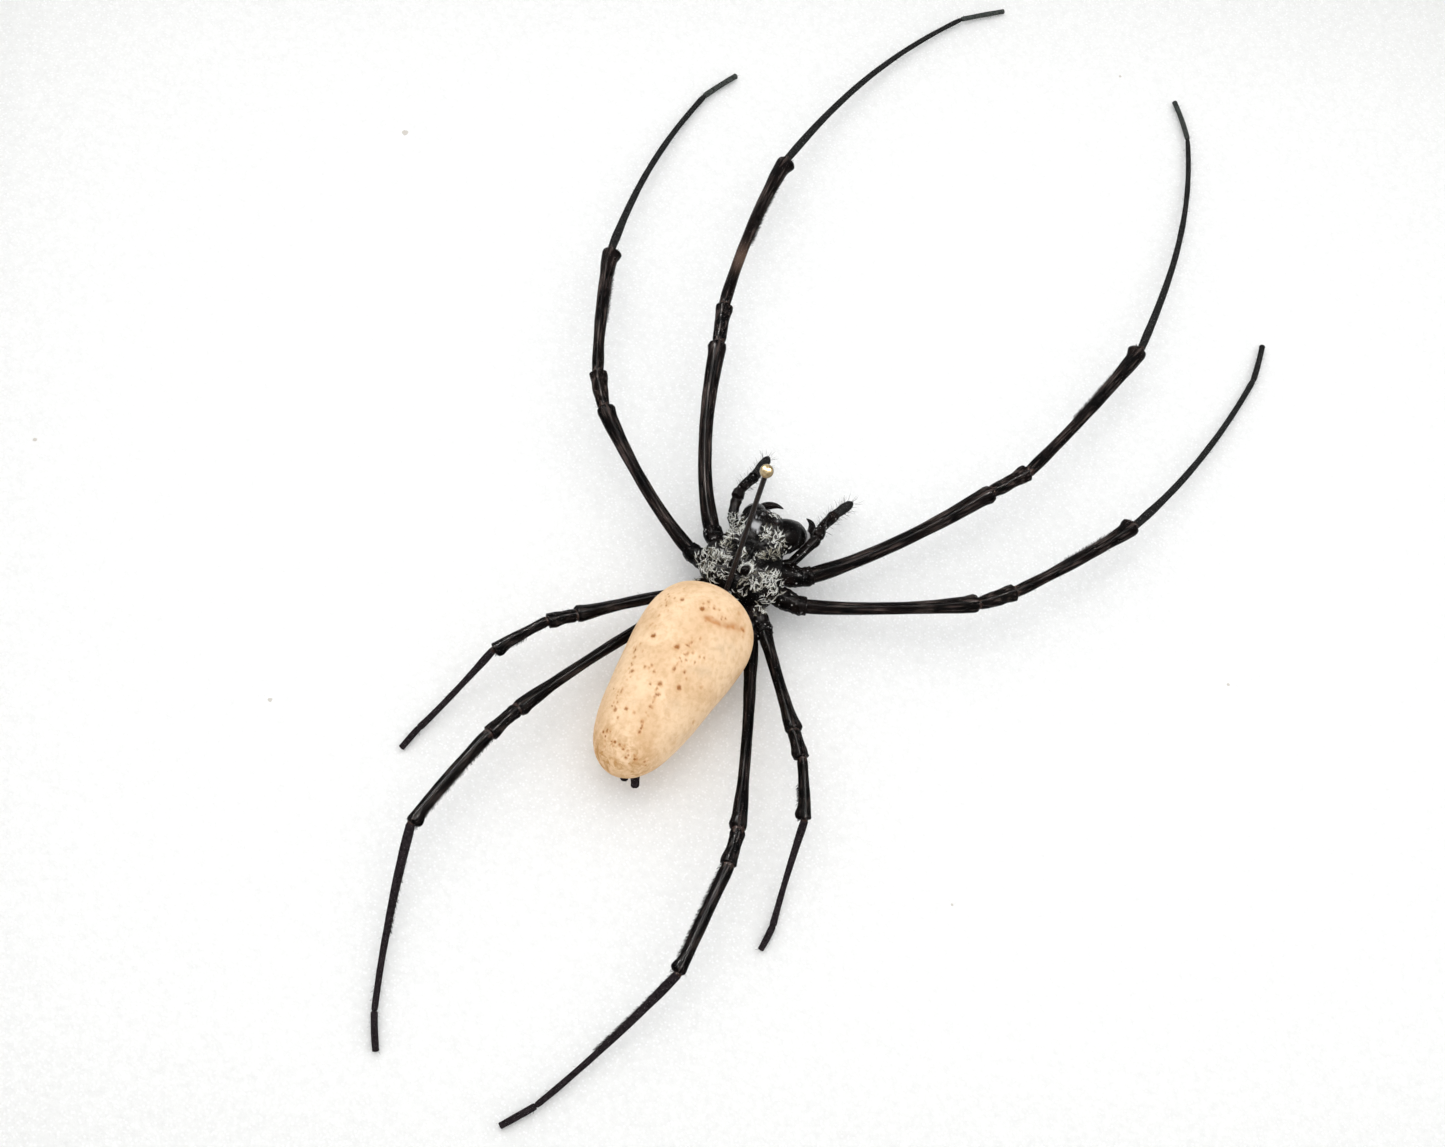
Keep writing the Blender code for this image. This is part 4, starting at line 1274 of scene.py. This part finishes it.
polished = glossy_cuticle("polished_cuticle", (0.005, 0.0035, 0.003), 0.13)
fang_horn = glossy_cuticle("fang_horn", (0.007, 0.0042, 0.0036), 0.16)
for name, (root_half, tip_half, widths) in HEAD_PARTS.items():
    finish = fang_horn if name.startswith("fang") else polished
    add_part(name, [on_carapace(*place) for place in (*root_half, *tip_half)], widths, finish)

# The thin dry skin that stands out along the right jaw's outer edge
JAW_RIM = ((14.5, 3.5, 4.6), (14.1, 4.1, 4.7), (13.0, 4.62, 4.9), (11.9, 4.65, 5.0), (10.8, 4.4, 5.0))
JAW_RIM_WIDTHS = (0.12, 0.5, 0.62, 0.5, 0.12)
dry_skin = new_material("dry_jaw_skin", Base_Color=(0.30, 0.295, 0.30), Roughness=0.4, Specular_IOR_Level=0.3)
add_part("jaw_rim", [on_carapace(*place) for place in JAW_RIM], JAW_RIM_WIDTHS, dry_skin[0])

# Spinnerets as (behind, right) of the abdomen's middle in mm
SPINNERETS = {"spinneret_left": (11.75, 1.45), "spinneret_right": (11.8, 2.95)}
SPINNERET_WIDTHS = (1.1, 1.25, 1.15, 1.1, 0.95, 0.45)
SPINNERET_SHARES = (0, 0.2, 0.5, 0.75, 0.93, 1.0)
SPINNERET_LUMPS = 0.06


def by_abdomen(behind, right, below):
    """A point given in mm behind, right of and below the abdomen's middle."""
    return ABDOMEN_CENTRE - BODY_AHEAD * behind * MM + BODY_RIGHT * right * MM - UP * below * MM


for name, (behind, right) in SPINNERETS.items():
    base = by_abdomen(behind - 2.6, right - 1.7, 3.2)
    tip = by_abdomen(behind + 0.35, right, 4.8)
    places = [base.lerp(tip, share) for share in SPINNERET_SHARES]
    add_part(name, places, SPINNERET_WIDTHS, velvet_rear, SPINNERET_LUMPS)
for guide in (grooved, fine_round, plain_round):
    bpy.data.objects.remove(guide)


# Eyes: eight small glassy beads in two rows across the front of the shield, each grown in a
# low collar of cuticle.

# Each eye's place forward and right of the carapace's rear, and its radius, in mm
EYES = (
    (12.1, -1.1, 0.30), (12.1, 0.2, 0.30), (11.0, -1.4, 0.30), (11.0, 0.5, 0.30),
    (11.6, -2.6, 0.22), (11.6, 1.9, 0.22), (10.9, -2.8, 0.2), (10.9, 2.1, 0.2),
)
COLLAR_TOP = 0.25
COLLAR_SWELL = 0.7
LENS_FROM = 0.2
shield_surface = surface_of(carapace)


def over_shield(forward, right):
    """Where the shield's top lies at a place, and which way it faces."""
    start = on_carapace(forward, right, 20)
    return shield_surface.ray_cast(start, -UP)[:2]


def make_eyes():
    """Eight beads on the shield, each with its lower part swollen into a collar."""
    collar = glossy_cuticle("eye_collar", (0.02, 0.01, 0.008), 0.3)
    lens = new_material("eye_lens", Base_Color=(0.006, 0.005, 0.006), Roughness=0.05)[0]
    beads = []
    for forward, right, radius in EYES:
        place, facing = over_shield(forward, right)
        bpy.ops.object.select_all(action="DESELECT")
        bpy.ops.mesh.primitive_uv_sphere_add(segments=24, ring_count=14, radius=radius * MM, location=place)
        bead = bpy.context.active_object
        bpy.ops.object.transform_apply(location=True)
        bead.data.materials.append(lens)
        bead.data.materials.append(collar)
        points, normals = mesh_points(bead)
        outward = (points - np.array(place)) @ np.array(facing) / (radius * MM)
        swell = COLLAR_SWELL * radius * MM * np.clip(COLLAR_TOP - outward, 0, 0.5)
        set_points(bead, points + normals * swell[:, None])
        for face in bead.data.polygons:
            raised = (face.center - place).dot(facing) / (radius * MM)
            face.material_index = 0 if raised > LENS_FROM else 1
        beads.append(bead)
    eyes = joined("eyes", beads)
    bpy.ops.object.shade_smooth()
    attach(eyes, "root")
    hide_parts("spider")


make_eyes()


# Hair: wavy locks of silvery cream hair that grow out of the shield and lie flat over it,
# broken by bald black cuticle along the furrow, round the horns and at the front of the head.
HAIR_DARK = (0.012, 0.010, 0.008)
HAIR_OLIVE = (0.36, 0.335, 0.25)
HAIR_SILVER = (0.92, 0.925, 0.88)
HAIR_RINGS = 5
HAIR_SIDES = 3
LOCK_TRIES = 13500
LOCK_HAIRS = 3
LOCK_HALF_WIDTH = 0.05
LOCK_LENGTHS = (0.4, 1.0)
LOCK_WAVES = (0.02, 0.09)
LOCK_TURNS = (0.5, 1.3)
LOCK_CURLS = (0.1, 0.5)
TOP_HEIGHT = 0.15
UNDER_HEIGHT = 0.04
TOP_SHADES = (0.72, 1.0)
UNDER_SHADES = (0.05, 0.45)
HAIR_WIDTHS = (0.045, 0.07)
SWIRL = 3.4
SWIRL_SIZE = 1.1 * MM
SWIRL_STRAY = 0.6
TUFT_SIZE = 0.42 * MM
OLIVE_DARKENING = 0.42
MAT_FORWARD = (-2.5, 13.5)
MAT_RIGHT = (-8.5, 9.5)

# Hairy, bald and darker olive patches as pixels of the photograph: middle, half width, half
# height, turn in degrees and how full the patch is
HAIRY = (
    (713, 566, 17, 17, 20, 1.0), (697, 578, 7, 7, 0, 0.5), (735.5, 527, 8.5, 15, 14, 1.0),
    (727, 545, 6, 8, 0, 0.9), (742, 553, 4.5, 5, 0, 0.9), (769, 537, 12, 7, -6, 0.8),
    (771, 554, 18, 5.5, -14, 1.0), (781, 548, 5, 7, 0, 1.0), (746, 570, 8.5, 8.5, 0, 1.0),
    (766, 587, 15, 16, 10, 1.0), (763, 606, 9, 12, 20, 1.0), (743, 583, 7, 5, 0, 0.8),
    (737, 594, 8, 5, 25, 0.4), (777, 516, 6, 4, 0, 0.8),
)
BALD = (
    (745.5, 570, 4.8, 4.8, 0, 1.0), (761, 567, 7, 4.5, -5, 0.6), (731, 582, 2.8, 14, 17, 1.0),
    (762, 549, 9, 3.5, -5, 0.9), (758, 598, 4, 4, 0, 0.9), (768, 524, 7, 5, 0, 1.0),
)
OLIVE = (
    (731, 546, 7, 7, 0, 1.0), (770, 557, 14, 6, -10, 1.0), (742, 584, 8, 6, 0, 0.8), (697, 580, 9, 8, 0, 1.0),
)
HORN_AT = (745.5, 570)
HORN_RING = (0.6, 0.82)
HORN_LOCKS = 60
HORN_LOCK_LENGTHS = (0.5, 0.8)
HORN_LOCK_CURL = 0.28


def inside(spots, pixels):
    """How far inside the fullest of some ovals each pixel lies, times that oval's fullness."""
    best = np.zeros(len(pixels))
    for x, y, half_width, half_height, turn, full in spots:
        angle = math.radians(turn)
        dx = pixels[:, 0] - x
        dy = pixels[:, 1] - y
        u = (dx * math.cos(angle) + dy * math.sin(angle)) / half_width
        v = (dy * math.cos(angle) - dx * math.sin(angle)) / half_height
        best = np.maximum(best, full * np.clip((1.15 - np.hypot(u, v)) / 0.25, 0, 1))
    return best


def hair_mesh(name, hairs, finish):
    """Many fine tapered hairs as one mesh: each a three-sided thread that ends in a point."""
    roots, ways, facings = hairs["root"], hairs["way"], hairs["facing"]
    sides = np.cross(facings, ways)
    sides /= np.linalg.norm(sides, axis=1)[:, None]
    rings = []
    for ring in range(HAIR_RINGS + 1):
        share = ring / HAIR_RINGS
        swing = hairs["curl"] * share**2
        if "wave" in hairs:
            turned = 2 * math.pi * hairs["turns"] * share + hairs["phase"]
            swing += hairs["wave"] * (np.sin(turned) - np.sin(hairs["phase"]))
        rise = hairs["lift"] * math.sin(math.pi * 0.85 * share)
        centre = roots + ways * (hairs["length"] * share)[:, None]
        centre = centre + sides * swing[:, None] + facings * rise[:, None]
        if ring == HAIR_RINGS:
            rings.append(centre[:, None, :])
            continue
        radius = hairs["width"] / 2 * (1 - 0.65 * share**2)
        corners = []
        for side in range(HAIR_SIDES):
            angle = 2 * math.pi * side / HAIR_SIDES
            corners.append(centre + (sides * math.cos(angle) + facings * math.sin(angle)) * radius[:, None])
        rings.append(np.stack(corners, 1))
    points = np.concatenate(rings, 1)
    each = points.shape[1]
    pattern = [(2, 1, 0), *ring_faces(HAIR_RINGS - 1, HAIR_SIDES)]
    last = (HAIR_RINGS - 1) * HAIR_SIDES
    for side in range(HAIR_SIDES):
        pattern.append((last + side, last + (side + 1) % HAIR_SIDES, each - 1))
    faces = [tuple(corner + i * each for corner in face) for i in range(len(roots)) for face in pattern]
    made = mesh_object(name, points.reshape(-1, 3), [], faces)
    store(made, "shade", np.repeat(hairs["shade"], each))
    made.data.materials.append(finish)
    made.data.shade_smooth()
    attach(made, "root")
    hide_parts("spider")


def hair_finish(name, dark, middle, light, roughness):
    """Hair whose colour follows the shade kept on each hair, from dark to light."""
    made, tree, shader = new_material(name, Roughness=roughness, Specular_IOR_Level=0.03)
    colour = ramp(tree, attribute(tree, "shade"), (0.14, dark), (0.5, middle), (0.84, light))
    tree.links.new(colour, shader.inputs["Base Color"])
    return made


def lock_roots(rng):
    """Where the locks grow: places on the shield and leg bases that show as hairy."""
    surfaces = [shield_surface]
    for name in (*("leg_" + leg for leg in LEGS), *PALPS, "jaw_left", "jaw_right"):
        surfaces.append(surface_of(bpy.data.objects[name]))
    roots = []
    facings = []
    for forward, right in zip(rng.uniform(*MAT_FORWARD, LOCK_TRIES), rng.uniform(*MAT_RIGHT, LOCK_TRIES)):
        start = on_carapace(forward, right, 20)
        hits = [surface.ray_cast(start, -UP)[:2] for surface in surfaces]
        hits = [hit for hit in hits if hit[0] is not None and hit[0].z > FOAM_TOP + 3 * MM]
        if hits:
            place, facing = max(hits, key=lambda hit: hit[0].z)
            roots.append(place)
            facings.append(facing)
    roots = np.array(roots)
    facings = np.array(facings)
    pixels = picture_pixels(roots)
    full = inside(HAIRY, pixels) * (1 - inside(BALD, pixels))
    thin = np.clip(0.42 + 1.7 * noise_over(roots, TUFT_SIZE, 6.2), 0, 1)
    keep = rng.uniform(0, 1, len(roots)) < full * thin
    return roots[keep], facings[keep]


def horn_ring(rng):
    """Where the locks round the right horn grow, and the way each runs, round the horn."""
    middle = under_pixel(shield_surface, *HORN_AT)
    roots = []
    ways = []
    for turn in rng.uniform(0, 2 * math.pi, HORN_LOCKS):
        out = Vector((math.cos(turn), math.sin(turn), 0))
        above = middle + out * rng.uniform(*HORN_RING) * MM + UP * 10 * MM
        place = shield_surface.ray_cast(above, -UP)[0]
        roots.append(place + UP * rng.uniform(0.05, 0.3) * MM)
        ways.append(Vector((-math.sin(turn), math.cos(turn), 0)))
    return np.array(roots), np.array(ways), np.tile(np.array(UP), (HORN_LOCKS, 1))


def mat_of_hair():
    """The wavy locks over the shield and the ring of short ones round the right horn."""
    rng = np.random.default_rng(23)
    places, facings = lock_roots(rng)
    locks = len(places)
    swirl = SWIRL * noise_over(places, SWIRL_SIZE, 2.3) + rng.normal(0, SWIRL_STRAY, locks)
    way = np.cos(swirl)[:, None] * np.array(BODY_AHEAD) + np.sin(swirl)[:, None] * np.array(BODY_RIGHT)
    way -= facings * np.sum(way * facings, 1)[:, None]
    way /= np.linalg.norm(way, axis=1)[:, None]
    ring_places, ring_ways, ring_facings = horn_ring(rng)
    # Locks on top are silver; the lower ones are dark, partly dark hairs and partly painted shade deep in the
    # mat.
    on_top = rng.random(locks) < 0.5
    brightness = np.where(on_top, rng.uniform(*TOP_SHADES, locks), rng.uniform(*UNDER_SHADES, locks))
    brightness *= 1 - OLIVE_DARKENING * inside(OLIVE, picture_pixels(places))
    curl = rng.choice((-1, 1), locks) * rng.uniform(*LOCK_CURLS, locks) * MM
    height = np.where(on_top, TOP_HEIGHT, UNDER_HEIGHT)
    ring = np.ones(HORN_LOCKS)
    lengths = [rng.uniform(*LOCK_LENGTHS, locks), rng.uniform(*HORN_LOCK_LENGTHS, HORN_LOCKS)]
    each = {
        "root": np.concatenate([places, ring_places]),
        "way": np.concatenate([way, ring_ways]),
        "facing": np.concatenate([facings, ring_facings]),
        "length": np.concatenate(lengths) * MM,
        "wave": np.concatenate([rng.uniform(*LOCK_WAVES, locks), 0.02 * ring]) * MM,
        "turns": np.concatenate([rng.uniform(*LOCK_TURNS, locks), ring]),
        "phase": rng.uniform(0, 2 * math.pi, locks + HORN_LOCKS),
        "curl": np.concatenate([curl, HORN_LOCK_CURL * MM * ring]),
        "lift": np.concatenate([height * rng.uniform(0.6, 1.3, locks), 0.05 * ring]) * MM,
        "shade": np.concatenate([brightness, rng.uniform(0.75, 1.0, HORN_LOCKS)]),
    }
    hairs = {name: np.repeat(values, LOCK_HAIRS, axis=0) for name, values in each.items()}
    count = len(hairs["root"])
    sides = np.cross(hairs["facing"], hairs["way"])
    apart = rng.uniform(-LOCK_HALF_WIDTH, LOCK_HALF_WIDTH, count) * MM
    hairs["root"] = hairs["root"] + sides * apart[:, None] - hairs["facing"] * 0.02 * MM
    hairs["curl"] = hairs["curl"] - apart * 0.5
    hairs["length"] = hairs["length"] * rng.uniform(0.75, 1.1, count)
    hairs["lift"] = hairs["lift"] * rng.uniform(0.6, 1.2, count)
    hairs["width"] = rng.uniform(*HAIR_WIDTHS, count) * MM
    hairs["shade"] = np.clip(hairs["shade"] + rng.normal(0, 0.10, count), 0, 1)
    finish = hair_finish("silver_hair", HAIR_DARK, HAIR_OLIVE, HAIR_SILVER, 0.55)
    hair_mesh("shield_hair", hairs, finish)


mat_of_hair()


# Bristles: stiff dark hairs that grow out of the cuticle, long ones on the palps, finer and
# sparser ones along the legs, and a close fringe on the inner side of the tibiae.
BRISTLE_BLACK = (0.006, 0.005, 0.005)
BRISTLE_BROWN = (0.05, 0.04, 0.034)
PALP_WIDTH = 1.35 * MM
FRINGE_PULL = 2.2
ROOT_SHARE = 0.42

# A way that no bristle runs along, which turns the sides of each one
ASIDE = (0.31, 0.27, 0.91)


def bristles_on(name, runs, finish, per_mm, length, width, seed):
    """Bristles that stand out of limbs, all round or on one side, leaning towards the tip."""
    rng = np.random.default_rng(seed)
    roots = []
    ways = []
    for line, thickness, inner in runs:
        for near, far in zip(line, line[1:]):
            way = far - near
            side = way.cross(UP).normalized()
            other = side.cross(way).normalized()
            for _ in range(rng.poisson(way.length / MM * per_mm)):
                turn = rng.uniform(0, 2 * math.pi)
                out = side * math.cos(turn) + other * math.sin(turn)
                if inner is not None:
                    out = (inner * FRINGE_PULL + out).normalized()
                roots.append(near + way * rng.random() + out * thickness * ROOT_SHARE)
                ways.append((out + way.normalized() * rng.uniform(0.5, 1.3)).normalized())
    ways = np.array(ways)
    facings = np.cross(ways, np.array(ASIDE))
    facings /= np.linalg.norm(facings, axis=1)[:, None]
    count = len(roots)
    lengths = rng.uniform(0.5, 1.0, count) * length
    hairs = {
        "root": np.array(roots),
        "way": ways,
        "facing": facings,
        "length": lengths,
        "width": rng.uniform(0.7, 1.0, count) * width,
        "curl": rng.normal(0, 0.06, count) * lengths,
        "lift": rng.uniform(0.0, 0.12, count) * lengths,
        "shade": rng.random(count),
    }
    hair_mesh(name, hairs, finish)


bristle = hair_finish("dark_bristle", BRISTLE_BLACK, BRISTLE_BLACK, BRISTLE_BROWN, 0.4)
palp_runs = [(line[3:], PALP_WIDTH, None) for line in palp_lines.values()]
bristles_on("palp_bristles", palp_runs, bristle, per_mm=13, length=1.4 * MM, width=0.04 * MM, seed=5)
leg_runs = []
fringes = []
for name, lines in leg_middles.items():
    pair = LEGS[name][0]
    for segment in SEGMENTS:
        leg_runs.append((lines[segment][::4], LEG_WIDTHS[pair][segment][3] * MM, None))
    side = bend_side(lines, "tibia", "metatarsus")
    tibia = lines["tibia"][::4] if pair == 4 else lines["tibia"][20::4]
    fringes.append((tibia, LEG_WIDTHS[pair]["tibia"][3] * MM, side))
    if pair == 4:
        fringes.append((lines["metatarsus"][:30:3], LEG_WIDTHS[pair]["metatarsus"][2] * MM, side))
bristles_on("leg_hairs", leg_runs, bristle, per_mm=5.0, length=0.6 * MM, width=0.03 * MM, seed=11)
bristles_on("tibia_fringes", fringes, bristle, per_mm=48.0, length=0.62 * MM, width=0.045 * MM, seed=17)


# Pin: a size 3 insect pin of black-lacquered steel with a rolled ball head of brass, pushed
# through the shield a little right of the furrow and down into the foam.
PIN_WIDTH = 0.63 * MM
PIN_HEAD_RADIUS = 0.8 * MM
PIN_LENGTH = 38 * MM
PIN_TOP = Vector((-15.75, -13.42, 33.0)) * MM + UP * FOAM_TOP
PIN_LEAN = Vector((1.06, 1.98, 23.5)).normalized()
PIN_POINT = ((1.6 * MM, 1.0), (0.9 * MM, 0.72), (0.5 * MM, 0.5), (0.1 * MM, 0.16))
PIN_STEPS = 13
PIN_KNURL = 0.012 * MM
PIN_KNURL_SIZE = 0.3 * MM
SEAM_AT = -0.05
SEAM_HALF_HEIGHT = 0.05
SEAM_DEPTH = 0.02
pin_section = section_curve("pin_section", 24, ())


black_lacquer = mottled(
    "black_lacquer", {"scale": 900, "stretch": (1, 1, 0.06), "detail": 3},
    (0.35, (0.004, 0.003, 0.004)), (0.75, (0.018, 0.014, 0.013)), gloss=(0.24, 0.42), Specular_IOR_Level=0.08,
)
pale_brass = mottled(
    "pale_brass", {"scale": 1600, "detail": 4, "roughness": 0.6, "distortion": 0.5},
    (0.35, (0.17, 0.12, 0.055)), (0.65, (0.36, 0.29, 0.18)), gloss=(0.22, 0.38), Metallic=1.0,
)


def make_shaft():
    """The straight shaft, which runs from inside the head to its tapered point."""
    point = PIN_TOP - PIN_LEAN * (PIN_LENGTH - PIN_HEAD_RADIUS)
    shaft_top = PIN_TOP - PIN_LEAN * PIN_HEAD_RADIUS * 0.3
    taper = point + PIN_LEAN * PIN_POINT[0][0]
    straight = [shaft_top.lerp(taper, step / (PIN_STEPS - 1)) for step in range(PIN_STEPS)]
    points = straight + [point + PIN_LEAN * distance for distance, _ in PIN_POINT[1:]]
    widths = [PIN_WIDTH] * PIN_STEPS + [PIN_WIDTH * share for _, share in PIN_POINT[1:]]
    shaft = tube_along("pin_rod", points, widths, pin_section)
    shaft.data.materials.append(black_lacquer)
    bpy.ops.object.shade_smooth_by_angle(angle=math.radians(40))
    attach(shaft, "root")
    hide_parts("pin_shaft")


def make_head():
    """The ball of rolled brass, with its seam round the middle."""
    bpy.ops.object.select_all(action="DESELECT")
    bpy.ops.mesh.primitive_uv_sphere_add(segments=48, ring_count=32, radius=PIN_HEAD_RADIUS)
    head = bpy.context.active_object
    head.name = "pin_ball"
    points, normals = mesh_points(head)
    height = points[:, 2] / PIN_HEAD_RADIUS
    seam = np.exp(-(((height - SEAM_AT) / SEAM_HALF_HEIGHT) ** 2)) * SEAM_DEPTH * MM
    lift = PIN_KNURL * noise_over(points, PIN_KNURL_SIZE, 2.2) - seam
    set_points(head, points + normals * lift[:, None])
    head.rotation_euler = PIN_LEAN.to_track_quat("Z", "Y").to_euler()
    head.location = PIN_TOP
    bpy.ops.object.transform_apply(location=True, rotation=True, scale=True)
    bpy.ops.object.shade_smooth()
    head.data.materials.append(pale_brass)
    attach(head, "root")
    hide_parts("pin_head")


make_shaft()
make_head()
bpy.data.objects.remove(pin_section)


# Back panel: a sheet of tempered hardboard, smooth and brown, laid in the rebate behind the
# foam with its edges eased.
BOARD_DARK = (0.10, 0.052, 0.026)
BOARD_MIDDLE = (0.19, 0.105, 0.055)
BOARD_LIGHT = (0.29, 0.175, 0.10)


def hardboard():
    """Brown pressed fibre board, mottled with darker and lighter fibres."""
    made, tree, shader = new_material("hardboard", Roughness=0.5)
    fibres = grain_of(tree, 300, detail=6, roughness=0.7, distortion=1.0)
    flecks = grain_of(tree, 1300, (1, 0.4, 1), 3)
    mixed = node(tree, "Mix", {"Factor": 0.5, 2: fibres, 3: flecks}, data_type="FLOAT").outputs[0]
    colour = ramp(tree, mixed, (0.3, BOARD_DARK), (0.5, BOARD_MIDDLE), (0.7, BOARD_LIGHT))
    tree.links.new(colour, shader.inputs["Base Color"])
    raise_by(tree, shader, flecks, 0.00008, 0.5)
    return made


set_finish("back_panel", hardboard())


# Tabs: six flexible strips of spring steel, driven into slots in the rails and pressed flat
# over the back panel to hold it in.
def spring_steel():
    """Grey steel with fine rolling lines along each strip and faint spots."""
    made, tree, shader = new_material("spring_steel", Metallic=1.0)
    rolled = grain_of(tree, 1200, (0.05, 1, 1), 3)
    spots = grain_of(tree, 260, detail=3)
    colour = ramp(tree, spots, (0.35, (0.30, 0.30, 0.31)), (0.65, (0.52, 0.52, 0.53)))
    tree.links.new(colour, shader.inputs["Base Color"])
    vary_roughness(tree, shader, rolled, 0.26, 0.48)
    raise_by(tree, shader, rolled, 0.00003, 0.4)
    return made


steel = spring_steel()
for number in range(1, 7):
    set_finish(f"back_tab_{number}", steel)
